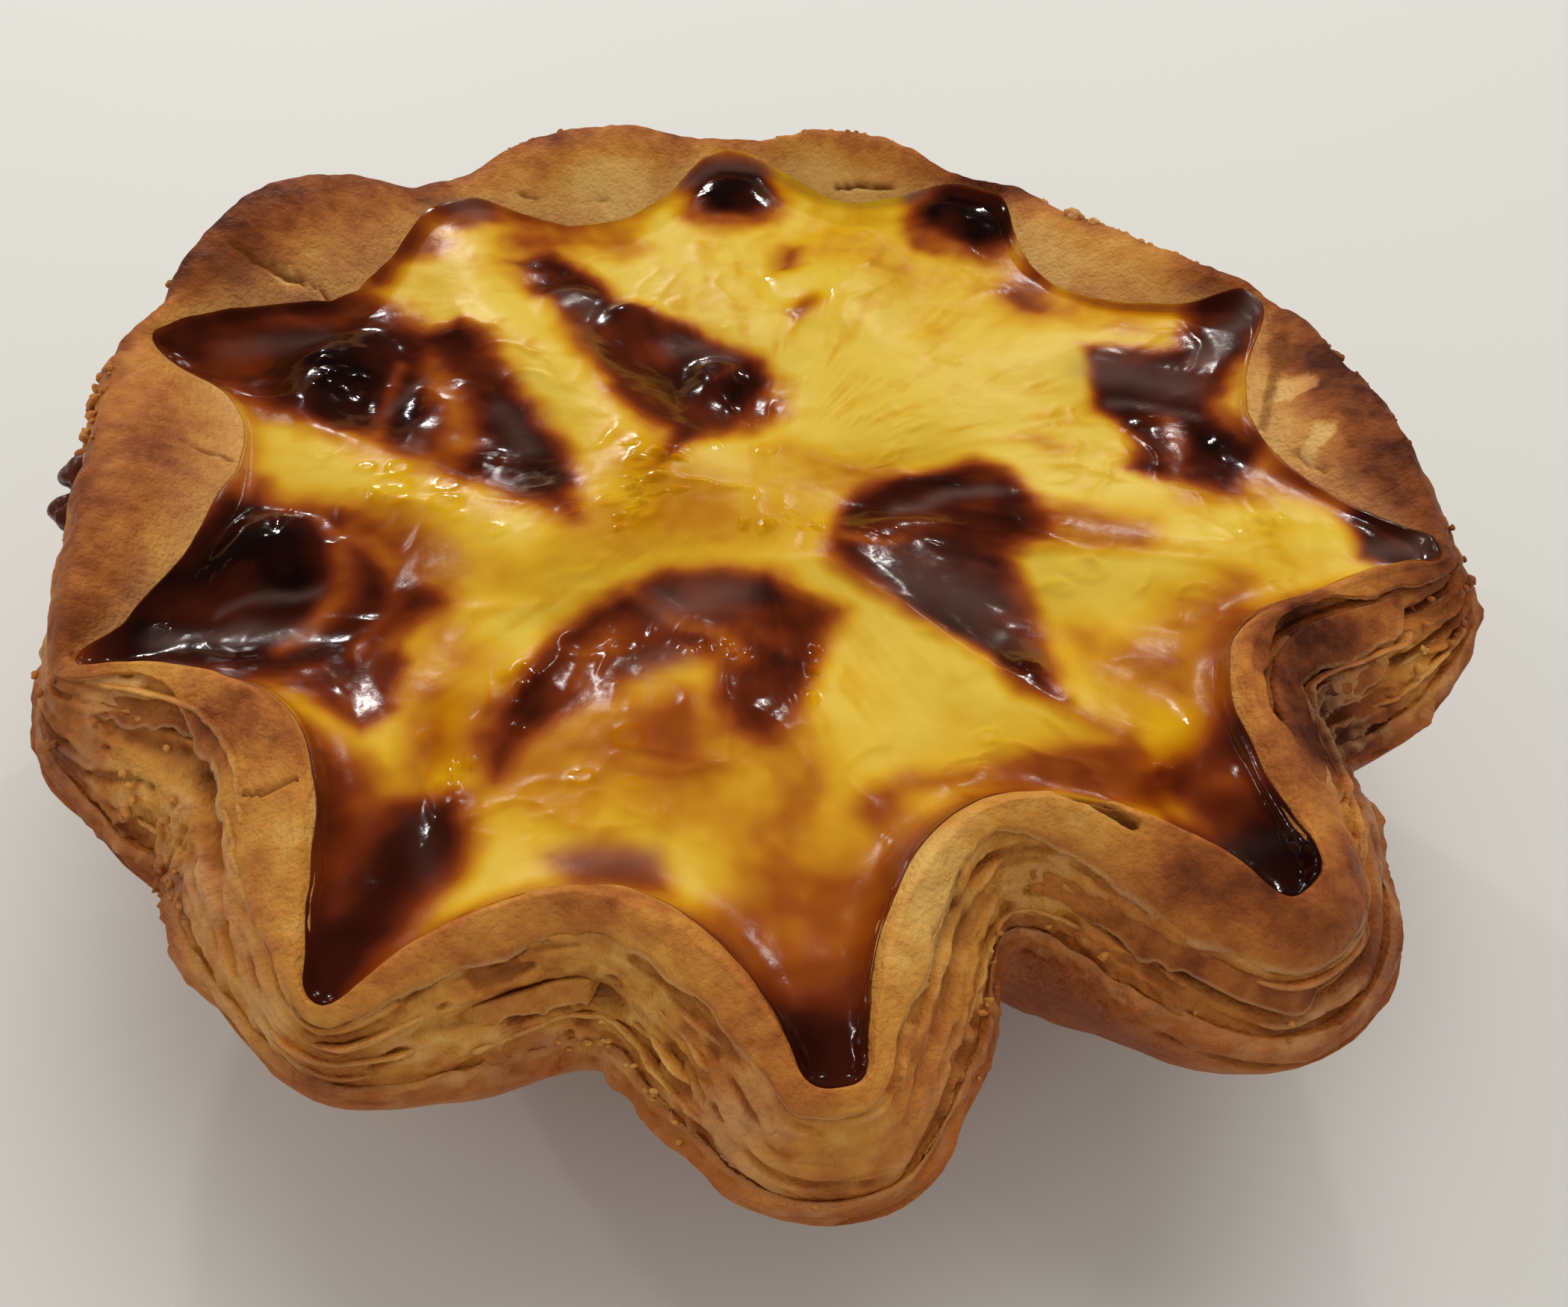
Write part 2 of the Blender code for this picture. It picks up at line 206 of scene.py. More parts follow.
# Places along the crest: plan position, outward direction, sizes, angle and a seamless path for noise.
class RimLine:
    def __init__(self, count):
        self.count = count
        fine = count * max(1, round(rim["tracedStations"] / count))
        angles = np.linspace(0.0, 360.0, rim["drawnAngles"], endpoint=False)
        turn = np.radians(angles)
        radius, *sizes = rimSizes(angles)
        traced = np.stack([radius * np.cos(turn), radius * np.sin(turn), *sizes, angles], axis=1)
        closing = traced[:1].copy()
        closing[0, -1] = 360.0
        closed = np.concatenate([traced, closing])
        steps = np.linalg.norm(np.diff(closed[:, :2], axis=0), axis=1)
        walked = np.concatenate([[0.0], np.cumsum(steps)])
        self.length = walked[-1]
        even = np.linspace(0.0, walked[-1], fine, endpoint=False)
        line = np.stack([np.interp(even, walked, column) for column in closed.T], axis=1)
        spacing = walked[-1] / fine
        soft = rounded(line[:, :-1], round(rim["crestEase"] / spacing))
        eased = rounded(soft[:, :2], round(rim["normalEase"] / spacing))
        ahead = np.roll(eased, -1, axis=0) - np.roll(eased, 1, axis=0)
        ahead /= np.linalg.norm(ahead, axis=1)[:, None]
        picked = slice(None, None, fine // count)
        self.crest = soft[picked, :2]
        self.outward = np.stack([ahead[:, 1], -ahead[:, 0]], axis=1)[picked]
        self.height, self.rise, self.inner, self.outer, self.lip = soft[picked, 2:].T
        self.angle = line[picked, -1]
        along = even[picked] / self.length * 2.0 * math.pi
        self.drum = self.length / (2.0 * math.pi) * np.stack([np.cos(along), np.sin(along)], axis=1)

    # Points for noise that follow the rim, at one distance across it.
    def flow(self, across, shift=0.0):
        return np.column_stack([self.drum, np.broadcast_to(across, self.count) + shift])

    # A row at an offset outwards from the crest and a height over the custard's edge.
    def row(self, out, up):
        plan = self.crest + self.outward * np.broadcast_to(out, self.count)[:, None]
        return np.column_stack([plan, np.broadcast_to(up, self.count) + rim["custardEdge"]])

    # The sloping face inside the crest, from the custard (0) to the crest (1).
    def innerFace(self, share):
        up = self.rise + (self.height - self.rise) * np.sin(0.5 * math.pi * share)
        return -self.inner * (1.0 - share), up

    # The face outside the crest, from the crest (0) to the lip (1).
    def outerFace(self, share):
        turn = 0.5 * math.pi * share
        straight = (1.0 - rim["roundShare"]) * share
        out = rim["roundShare"] * np.sin(turn) + straight
        down = rim["roundShare"] * (1.0 - np.cos(turn)) + straight
        return self.outer * out, self.height + (self.lip - self.height) * down

    # Some of the places, or all in another order, such as the nearest one to each of some points.
    def picked(self, order):
        other = copy.copy(self)
        for name in ("crest", "outward", "height", "rise", "inner", "outer", "lip", "angle", "drum"):
            setattr(other, name, getattr(self, name)[order])
        other.count = len(order)
        return other

    # A plain circle whose stations lie about as the rim's do.
    def ring(self, radius):
        angles = np.unwrap(np.arctan2(self.crest[:, 1], self.crest[:, 0]))
        even = np.linspace(0.0, 2.0 * math.pi, self.count, endpoint=False)
        even += np.mean(angles - even)
        turn = angles + 0.5 * (even - angles)
        return radius * np.stack([np.cos(turn), np.sin(turn)], axis=1)


coarseRim = RimLine(rim["coarseStations"])
fineRim = RimLine(rim["fineStations"])
lowCorner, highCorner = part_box("crust")
frameMiddle = 500.0 * np.array([lowCorner.x + highCorner.x, lowCorner.y + highCorner.y])
shiftToFrame = np.append(frameMiddle - rim["middle"], 0.0)
print("rim traced, length", round(fineRim.length, 1), "mm, shift", shiftToFrame.round(2))


# Lumps of the top sheet at a distance across the crest, negative inside.
def topLumps(line, across):
    return layered(line.flow(across, 700.0), rim["sheetLumps"])


# The uneven sloping face inside the crest: a row of the top sheet, and its lumps.
def unevenFace(line, share):
    out, up = line.innerFace(share)
    row = line.row(out, up)
    lumps = topLumps(line, out) * share**2
    row[:, 2] += layered(row, rim["faceWaves"]) * arch(share * 0.85 + 0.08) + rim["lumpsUp"] * lumps
    return row, lumps


# A closed skin from rows of points in millimetres. A grid is laid on the rows and its seams are merged.
def skinFromRows(name, rows, values, tube=False):
    rows = np.array(rows)
    if tube:
        rows = np.concatenate([rows, rows[:1]])
        values = {key: np.concatenate([value, value[:1]]) for key, value in values.items()}
    count, around = rows.shape[:2]
    bpy.ops.mesh.primitive_grid_add(x_subdivisions=around, y_subdivisions=count - 1, size=2.0)
    piece = bpy.context.object
    piece.name = name
    piece.data.name = name
    places = np.empty(len(piece.data.vertices) * 3)
    piece.data.vertices.foreach_get("co", places)
    places = places.reshape(-1, 3)
    column = np.rint((places[:, 0] + 1.0) / 2.0 * around).astype(int) % around
    line = np.rint((places[:, 1] + 1.0) / 2.0 * (count - 1)).astype(int)
    piece.data.vertices.foreach_set("co", ((rows[line, column] + shiftToFrame) * 0.001).ravel())
    for key, value in values.items():
        attribute = piece.data.attributes.new(key, "FLOAT", "POINT")
        attribute.data.foreach_set("value", np.array(value, float)[line, column].ravel())
    piece.data.update()
    bpy.ops.object.mode_set(mode="EDIT")
    bpy.ops.mesh.select_all(action="SELECT")
    bpy.ops.mesh.remove_doubles(threshold=1e-7)
    bpy.ops.mesh.normals_make_consistent(inside=False)
    bpy.ops.object.mode_set(mode="OBJECT")
    bpy.ops.object.shade_smooth()
    return piece


# A row with all its points in one place, which closes a skin.
def pole(rows, height):
    return np.tile([rows[:, 0].mean(), rows[:, 1].mean(), height], (len(rows), 1))


# Signed distance from points to a closed outline, negative inside.
def outlineDistance(points, corners):
    corners = np.array(corners, float)
    nearest = np.full(len(points), 1e9)
    inside = np.zeros(len(points), bool)
    for start, end in zip(corners, np.roll(corners, -1, axis=0)):
        along = end - start
        share = np.clip((points - start) @ along / (along @ along), 0.0, 1.0)
        nearest = np.minimum(nearest, np.linalg.norm(points - start - share[:, None] * along, axis=1))
        crosses = (start[1] > points[:, 1]) != (end[1] > points[:, 1])
        with np.errstate(divide="ignore", invalid="ignore"):
            at = start[0] + (points[:, 1] - start[1]) / (end[1] - start[1]) * along[0]
        inside ^= crosses & (points[:, 0] < at)
    return np.where(inside, -nearest, nearest)


# Distance from points to a line of corners, and how far along it (0 to 1) its nearest place is.
def lineDistance(points, corners):
    corners = np.array(corners, float)
    lengths = np.linalg.norm(np.diff(corners, axis=0), axis=1)
    nearest = np.full(len(points), 1e9)
    place = np.zeros(len(points))
    walked = 0.0
    for start, end, length in zip(corners[:-1], corners[1:], lengths):
        along = end - start
        share = np.clip((points - start) @ along / length**2, 0.0, 1.0)
        away = np.linalg.norm(points - start - share[:, None] * along, axis=1)
        place = np.where(away < nearest, (walked + share * length) / lengths.sum(), place)
        nearest = np.minimum(nearest, away)
        walked += length
    return nearest, place


def nearLine(points, corners, width):
    return hump(lineDistance(points, corners)[0], width)


def flat(plan):
    return np.column_stack([plan, np.zeros(len(plan))])


# A wandering shift of plan places, so that marks don't look ruled.
def drift(plan, size, *seeds):
    return np.column_stack([unevenness(flat(plan), size, seed) for seed in seeds])


# Custard: plan places in millimetres, +y away from the camera.
filling = {
    "stations": 660,
    "rings": 134,
    "disc": 19.0,  # radius inside which the rings are circles
    "rise": 0.4,
    "lap": 0.35,  # how far its skin climbs over the pastry
    "skin": 0.11,  # its thickness there
    "clearance": 0.4,  # between its hidden sides and the cup
    "ringHeight": 0.1,
    "ringDome": 0.06,
    "bubbleHeight": 0.7,  # against a half ball
    "wrinkleHeight": 0.12,
    # browning: fade of a patch's edge, mottles, flecks, wrinkles, feathering, syrup and its change
    "edgeFade": 3.1,
    "mottle": 0.07,
    "flecks": 0.05,
    "wrinkleBrown": 0.04,
    "feather": 0.3,
    "syrup": (0.34, 0.2),
    # where the skin climbs further: bearing, spread, extra, browner
    "laps": [
        (31.3, 3.0, 0.3, 0.2), (66.0, 4.5, 0.1, 0.25), (95.6, 4.0, 0.9, 0.0), (128.5, 5.0, 0.2, 0.0),
        (167.0, 3.0, 0.2, 0.2), (190.0, 10.0, 0.3, 0.0), (352.8, 4.0, 0.3, 0.1), (48.0, 10.0, -0.2, -0.28),
        (112.0, 12.0, -0.24, -0.3), (80.0, 8.0, -0.28, -0.25), (145.0, 8.0, -0.15, -0.14),
    ],
    # ends of a swell (+) or hollow (-), height, spread
    "swells": [
        (-26.0, 4.0, -10.0, -6.0, 1.5, 4.5),
        (-20.0, 23.0, -6.0, 1.0, 1.7, 5.0),
        (-15.0, -19.0, -11.0, -10.0, 1.1, 4.0),
        (18.0, -18.0, 5.0, -7.0, 1.2, 3.5),
        (25.0, -4.0, 8.0, -3.5, 1.0, 3.5),
        (-6.0, -25.0, -2.0, -14.0, 0.8, 5.0),
        (10.0, 10.0, 22.0, 14.0, 1.1, 8.0),
        (-2.0, 29.0, 2.0, 14.0, 1.0, 6.0),
        (-29.0, 10.5, -14.0, 3.0, -1.6, 5.0),
        (-27.0, -9.0, -20.0, -9.5, -1.5, 5.0),
        (-13.0, 18.0, -2.0, 9.0, -1.4, 4.0),
        (-8.0, -11.0, 3.0, -10.0, -1.2, 4.0),
        (8.0, -1.0, 13.0, -9.0, -1.2, 4.0),
        (22.0, 9.0, 27.0, 7.0, -1.3, 4.0),
    ],
    # fine creases of the skin: corners, height, half width
    "creases": [
        ([(-34, 8.6), (-30, 5.9), (-25, 3.6), (-18.7, 1.2), (-14, -1.2), (-10.5, -3.2)], 0.22, 0.6),
        ([(-20, 23), (-16, 20.3), (-12.0, 13.8), (-9.8, 10.2), (-8, 6.8), (-5.2, 4.2)], 0.16, 0.7),
        ([(-29, -16.0), (-23, -14.6), (-18, -13.2), (-15.5, -10.6), (-12, -10.4), (-9, -9.6), (-5.5, -7.0)],
         0.12, 0.45),
        ([(18.5, -18.2), (15, -15.2), (11, -12.0), (7.5, -8.6), (4.0, -5.6), (0, -5.6)], 0.28, 0.5),
        ([(26, -4.6), (20.5, -4.3), (15, -3.8), (12.5, -4.8), (10, -4.4)], 0.16, 0.4),
        ([(-5.8, -7.8), (-2.4, -10.6), (1.0, -12.4)], 0.2, 0.4),
        ([(-4.5, -7.2), (0, -6.6), (4.4, -8.8), (6.0, -11.6)], 0.14, 0.4),
        ([(-1.0, -13.2), (-0.4, -15.4), (1.6, -17.6), (3.4, -16.6), (4.2, -12.0)], 0.1, 0.5),
        ([(27.8, -3.6), (26.0, -1.4), (25.8, 1.2)], 0.12, 0.3),
        ([(21.0, 8.0), (23.0, 8.8), (26.0, 11.0), (29.0, 16.0)], 0.14, 0.6),
        ([(-10.0, -10.2), (-14.0, -10.6), (-18.4, -11.8), (-23.0, -12.2)], 0.12, 0.35),
        ([(-4.0, -1.0), (2.0, -3.0), (9.0, -3.6)], 0.12, 0.5),
        ([(2.0, 3.0), (6.5, 1.4), (9.5, 2.6)], 0.14, 0.4),
    ],
    # blisters: x, y, radius along x, radius along y, height
    "blisters": [
        (-24.6, 8.2, 4.3, 4.6, 1.3), (-20.7, 6.0, 1.4, 4.0, 0.35), (-17.6, 4.8, 2.2, 4.4, 0.7),
        (-23.6, -8.2, 4.2, 4.2, 1.5), (-19.4, -9.4, 2.2, 4.4, 0.6), (-12.3, 17.0, 2.6, 2.2, 0.8),
        (-8.4, 15.6, 2.2, 2.6, 0.7), (-2.6, 8.4, 2.2, 3.4, 0.9), (5.0, 20.5, 5.0, 6.5, 1.0),
        (12.8, 29.6, 5.0, 5.4, 0.9), (22.4, -19.8, 2.6, 2.4, 0.9), (-9.0, -14.0, 1.6, 2.8, 0.4),
        (8.4, -2.6, 3.2, 1.2, 0.4), (19.0, -11.6, 3.4, 2.4, 0.3), (33.0, -2.0, 2.4, 3.0, 0.6),
        (-3.2, 33.0, 3.2, 4.0, 0.7), (-22.2, 28.4, 2.8, 2.2, 0.5), (8.0, 0.2, 3.6, 2.0, 0.4),
        (3.0, -30.0, 2.4, 3.0, 0.3), (-11.6, -23.0, 1.3, 2.4, 0.45), (-14.4, -27.4, 1.2, 2.2, 0.3),
        (24.0, 5.6, 2.0, 3.0, 0.2), (22.0, 12.0, 2.2, 3.0, 0.1),
    ],
    # small raised rings of skin: x, y, radius
    "ringsOfSkin": [
        (-19.2, -1.3, 0.95), (-18.9, -2.3, 0.95), (-16.2, -1.0, 0.7), (-16.0, -2.6, 0.75),
        (-15.4, -3.6, 0.5), (-13.2, -4.6, 0.6), (-20.8, 0.1, 0.45), (-19.0, 0.2, 0.6), (17.2, -5.4, 0.9),
        (15.6, -6.8, 0.6), (-4.6, -18.0, 0.7), (-4.2, -20.6, 0.4), (6.2, -3.6, 0.45), (7.6, -3.5, 0.4),
        (2.2, -2.4, 0.35), (-6.2, 1.6, 0.6), (-5.2, -0.7, 0.5), (-7.4, -1.7, 0.55), (-4.2, 2.9, 0.5),
        (1.0, -3.0, 0.4), (-9.4, -2.6, 0.5), (0.6, 3.2, 0.5), (-2.4, 3.6, 0.45), (8.6, 6.0, 0.5),
        (-6.4, -20.4, 0.5), (-13.4, -18.6, 0.45), (11.4, -17.0, 0.5), (1.8, 19.8, 2.4),
    ],
    # crinkled skin that glints: line, half width, height
    "crinkled": [
        ([(-7.6, 3.2), (-5.4, -2.8)], 2.2, 0.24), ([(-10.6, -14.6), (-12.6, -19.8)], 1.2, 0.18),
        ([(-6.0, -12.2), (1.2, -10.4)], 1.8, 0.17), ([(-8.8, -12.4), (-5.2, -13.6)], 1.2, 0.16),
        ([(1.4, 25.2), (3.2, 27.2), (6.2, 28.0)], 0.6, 0.2), ([(-3.0, 0.4), (1.0, -1.6)], 1.4, 0.14),
        ([(-28.0, -13.6), (-18.0, -12.8)], 1.4, 0.06), ([(5.4, 3.6), (9.4, 2.8)], 1.2, 0.14),
        ([(-12.6, -21.6), (-10.8, -24.0)], 1.2, 0.14), ([(-29.6, -6.4), (-29.6, -13.6)], 1.2, 0.09),
        ([(12.0, -12.4), (14.6, -14.2)], 1.0, 0.12), ([(19.4, -15.8), (22.0, -19.6)], 1.6, 0.1),
        ([(24.0, -4.0), (28.0, -2.6)], 1.4, 0.12), ([(-27.4, 9.6), (-22.4, 9.2)], 1.8, 0.08),
        ([(0.4, 10.0), (0.8, 5.6)], 1.2, 0.12),
    ],
    # wet places on the yellow skin: line, half width
    "wet": [
        ([(-6.4, 3.0), (-5.6, -3.4)], 1.2), ([(-13.0, -16.6), (-12.2, -21.0)], 1.0),
        ([(20.0, -16.0), (18.0, -21.0)], 2.0), ([(2.0, 26.0), (5.6, 28.6)], 0.7),
        ([(26.6, -1.4), (30.0, -1.6)], 1.0),
    ],
    # clusters of sugar bubbles: x, y, spread along x, spread along y, number
    "bubbles": [
        (-29.2, -12.0, 0.5, 2.8, 40), (-28.0, -8.4, 0.6, 1.6, 22), (-27.8, -13.0, 0.8, 2.0, 16),
        (-32.6, 13.6, 1.0, 0.9, 16), (-26.6, 18.0, 0.4, 0.8, 7), (-9.9, -15.4, 0.6, 1.2, 10),
        (-5.2, 2.2, 1.3, 1.6, 18), (-5.8, -0.4, 1.1, 1.0, 14), (27.6, -1.2, 1.8, 0.9, 14),
        (-24.2, 6.8, 2.0, 1.2, 12), (-25.0, -9.6, 2.4, 0.5, 12), (-12.0, -20.8, 0.8, 0.5, 8),
        (19.2, -18.6, 0.6, 0.9, 7), (-6.2, -2.6, 0.8, 1.4, 12), (0.6, -3.2, 1.8, 0.5, 9),
        (-9.4, -16.6, 0.5, 1.4, 8), (3.4, -13.4, 0.4, 1.8, 8), (-1.6, -12.4, 1.4, 0.4, 7),
        (13.6, -12.6, 0.5, 1.0, 6),
    ],
    "bubbleSizes": (0.13, 0.34),
    # unevenness of the glossy skin: amount, size, seed
    "skinLumps": [(0.085, 1.9, 5.0), (0.04, 0.9, 7.0), (0.018, 0.45, 10.0)],
}


def oval(x, y, alongX, alongY):
    turns = [step / 9.0 * math.pi for step in range(18)]
    return [(x + alongX * math.cos(turn), y + alongY * math.sin(turn)) for turn in turns]


# Scorched patches: outline, softness of its edge, strength, and how much noise shifts the edge.
scorch = [
    ([(-36.4, 9.6), (-35.0, 13.6), (-31.8, 16.4), (-28, 17.0), (-25, 17.0), (-22.4, 15.6), (-20, 13.5),
      (-18.6, 14.6),
      (-17, 13.5), (-16, 11.2), (-14, 8.5), (-12.2, 6), (-11, 3), (-9.8, 0), (-9.4, -3.2), (-11.6, -2.8),
      (-14, -1.3),
      (-18.7, 1.2), (-24, 3.3), (-28, 4.8), (-32, 7.0)], 0.9, 0.79, 0.5),
    ([(-26.2, -1.8), (-23.6, -3.6), (-20.3, -4.3), (-18.3, -6.1), (-16.8, -8.7), (-14.8, -10.2),
      (-16.6, -12.3),
      (-18.2, -14.8), (-20.5, -15.5), (-24.5, -15.6), (-30.4, -16.6), (-30.4, -10), (-28.6, -6.5),
      (-27.2, -4)],
     0.9, 0.84, 0.5),
    ([(-18.2, -14.4), (-16, -13.2), (-15.2, -14), (-15.2, -17), (-16.4, -18.7), (-18.5, -17.3),
      (-20.2, -15.6)],
     0.45, 0.6, 0.2),
    ([(-17, 22), (-14, 22.8), (-12.3, 21.2), (-10.2, 19.4), (-8.6, 17.5), (-6.6, 16.0), (-4.4, 15.2),
      (-2.6, 13.8),
      (-0.3, 11.6), (1.2, 9), (1.8, 6.8), (0.2, 5.2), (-2.4, 4.0), (-5.0, 2.0), (-5.4, 4.6), (-7.4, 6.4),
      (-10, 10.5), (-11.8, 13.8), (-13.8, 17), (-16, 20.5)], 0.8, 0.75, 0.5),
    ([(-11.2, -19.6), (-11.4, -16.5), (-10.7, -14.5), (-9.2, -12), (-7.7, -10), (-6.2, -8.4), (-4.5, -7.2),
      (-1.5, -6.6), (0.8, -6.8), (3, -7.6), (5.0, -9), (4.2, -11.4), (3.2, -13.8), (2.3, -16.0), (1.5, -17.8),
      (0, -17), (-0.6, -15), (-1.3, -13.2), (-2.6, -13), (-4.5, -14.6), (-7, -16.4), (-9.3, -18.8),
      (-10.5, -20.8)],
     0.8, 0.68, 0.3),
    ([(3.8, -5), (4.4, -3.2), (5, -1.3), (7, 0.6), (9.5, 2.0), (12, 2.9), (13.8, 2.2), (15.4, 0), (15, -2),
      (14, -4),
      (13, -5), (13.8, -7), (14.5, -9.5), (15.0, -12), (15.4, -14.6), (13.3, -13.9), (12, -12.5), (10.0, -11),
      (8.3, -9.4), (6.1, -7.1)], 0.75, 0.8, 0.4),
    ([(14, 0.4), (17, -0.4), (21.5, -1.2), (21, -3.8), (14.5, -3.9)], 0.8, 0.38, 0.3),
    ([(19.8, 14.8), (19.5, 11), (19.4, 9), (20.5, 7.3), (21, 5.3), (20.8, 2.8), (22.8, 1.9), (25.8, 1.7),
      (27.6, 3.5),
      (28.6, 6), (27.6, 8), (26.8, 10), (28.2, 12), (29.2, 15), (31.6, 19), (32, 22), (29, 23), (27.0, 21.9),
      (26.7, 18.4), (25.5, 15.9), (23.5, 15.3), (21.5, 15.3)], 0.7, 0.8, 0.3),
    (oval(12.9, 29.4, 3.2, 3.7), 0.6, 0.95, 0.2), (oval(12.9, 29.2, 4.4, 5.0), 0.6, 0.5, 0.3),
    (oval(-3.1, 32.6, 2.8, 3.2), 0.7, 0.93, 0.2), (oval(-3.1, 31.8, 3.8, 4.9), 0.8, 0.48, 0.3),
    ([(-25.4, 30.0), (-22.6, 30.4), (-19.6, 28.4), (-19.2, 26.8), (-21.6, 26.2), (-24.6, 27.6)], 1.1, 0.66,
     0.6),
    ([(-26.6, 27), (-24.2, 27), (-21.4, 24.6), (-21.2, 22.2), (-23.4, 21.6), (-24.0, 17.6), (-25.8, 17.4)],
     0.8, 0.5, 0.5),
    ([(31.2, -0.4), (32.2, 1.0), (34.4, 0.8), (36.2, -1.4), (36.0, -4.2), (33.4, -4.8), (31.4, -3.4)], 0.5,
     0.92, 0.2),
    ([(18.6, -21.5), (20.2, -26.4), (23.4, -27.6), (27.4, -26), (27.6, -20), (26.4, -15.4), (24.6, -14.6),
      (24.4, -18.6), (22.8, -21.6), (20.6, -22.2)], 0.7, 0.95, 0.2),
    ([(18.2, -19.8), (19.4, -17.4), (22.2, -15.6), (25.4, -14.4), (26.4, -20), (21, -23)], 1.0, 0.72, 0.3),
    ([(10, -20.8), (13.6, -18.6), (17.2, -17.6), (19.4, -18.6), (18.4, -21.4), (14, -20.2), (10, -22.6)],
     0.8, 0.5, 0.4),
    ([(-1.6, -28), (1.4, -25.6), (4.4, -23.6), (7.6, -21.6), (10, -22), (8.0, -27), (7.4, -31), (6.6, -36),
      (3, -36),
      (0, -32)], 1.2, 0.48, 0.6),
    ([(0.6, -32.0), (3.4, -31.0), (6.4, -31.4), (6.4, -37), (3.4, -37)], 0.9, 0.8, 0.3),
    ([(-18.6, -18.6), (-16.8, -19.6), (-14.6, -21.4), (-11.2, -22.0), (-10.2, -23.6), (-11, -27), (-13, -31),
      (-14.6, -34), (-17.4, -31), (-18.2, -26)], 0.8, 0.55, 0.4),
    ([(-14.4, -22.6), (-12, -23.0), (-10.8, -24.4), (-11.6, -27), (-13, -30), (-14.2, -33.6), (-16.4, -31.6),
      (-15.4, -28.0)], 0.9, 0.7, 0.4),
    ([(-7.2, -24.4), (-5.2, -23.6), (-2.8, -24.4), (-2.4, -26.2), (-5.6, -26.4)], 0.7, 0.55, 0.3),
    ([(-19.6, 29.4), (-14.5, 29.4), (-9.0, 29.8), (-8.4, 24.6), (-10.0, 22.8), (-12.4, 24.2), (-14.4, 22.4),
      (-17.2, 23.8)], 1.2, 0.36, 0.8),
    ([(-12.0, -1.2), (-8.4, -0.6), (-3.8, -2.2), (-4.4, -5.2), (-9.4, -5.0)], 1.6, 0.08, 0.8),
    ([(-26.6, -1.2), (-22.4, -2.4), (-17.2, -3.4), (-15.2, -6.0), (-13.8, -9.4), (-18, -9), (-21, -5)], 1.2,
     0.34, 0.6),
]

# Amber streaks inside them: line, half width, how much they lighten it.
amberStreaks = [
    ([(-19.4, 10.0), (-18.2, 7.4), (-17.0, 4.8), (-16.2, 2.4)], 1.3, 0.42),
    ([(-21.4, 9.0), (-20.9, 5.6), (-21.0, 2.8)], 0.45, 0.3), ([(-31.0, 11.0), (-29.4, 8.4)], 1.8, 0.2),
    ([(-30.0, 13.9), (-26.0, 14.0)], 0.8, 0.16),
    ([(-22.0, -4.6), (-20.0, -6.2), (-19.3, -8.8), (-19.8, -11.6), (-21.2, -13.4)], 0.7, 0.4),
    ([(-18.8, -5.8), (-17.4, -8.2), (-17.2, -11.0), (-18.0, -13.4)], 0.6, 0.34),
    ([(-20.0, -4.8), (-17.8, -7.4)], 0.8, 0.3), ([(23.6, 7.6), (23.4, 2.6)], 0.7, 0.34),
    ([(26.4, 9.6), (27.4, 6.4)], 0.7, 0.26), ([(10.6, 27.2), (12.2, 25.8)], 0.8, 0.4),
    ([(-0.6, 6.0), (1.2, 8.6)], 0.8, 0.3), ([(-2.4, 8.6), (-1.8, 10.6)], 0.4, 0.2),
    ([(21.0, -19.6), (22.6, -18.6)], 1.2, 0.22), ([(5.2, -4.0), (8.0, -3.6)], 0.4, 0.3),
    ([(1.4, -26.6), (4.6, -27.6)], 1.6, 0.14), ([(-25.4, 8.8), (-23.6, 7.6)], 3.6, -0.25),
    ([(-19.6, 6.4), (-19.4, 3.0)], 0.6, -0.2), ([(-13.4, 4.6), (-11.6, 1.0)], 1.8, -0.15),
    ([(-24.8, -7.8), (-22.6, -7.6)], 2.6, -0.25), ([(-28.0, -14.8), (-21.0, -13.6)], 1.2, -0.12),
    ([(-13.0, 18.4), (-9.4, 15.4)], 1.4, -0.12), ([(-4.4, 9.6), (-1.0, 7.4)], 2.0, -0.2),
    ([(-8.6, -13.6), (-9.6, -17.6)], 1.2, -0.12), ([(0.6, -8.2), (3.4, -10.8), (2.4, -14.6)], 1.2, -0.25),
    ([(-7.4, -10.6), (-3.6, -9.2)], 1.0, -0.12), ([(-5.8, -8.6), (-2.4, -10.8), (0.4, -12.8)], 0.5, 0.3),
    ([(-7.6, -15.0), (-6.0, -12.6)], 1.2, 0.16), ([(7.4, -2.8), (9.4, -2.4)], 1.4, 0.16),
    ([(13.4, -9.2), (14.0, -11.0)], 1.1, 0.16), ([(6.0, -0.6), (11.0, 0.8)], 1.4, -0.15),
    ([(8.0, -6.4), (13.0, -11.6)], 1.4, -0.12), ([(25.2, 4.8), (25.4, 5.4)], 1.8, -0.2),
    ([(22.2, 12.4), (21.6, 9.4)], 1.6, -0.12),
]

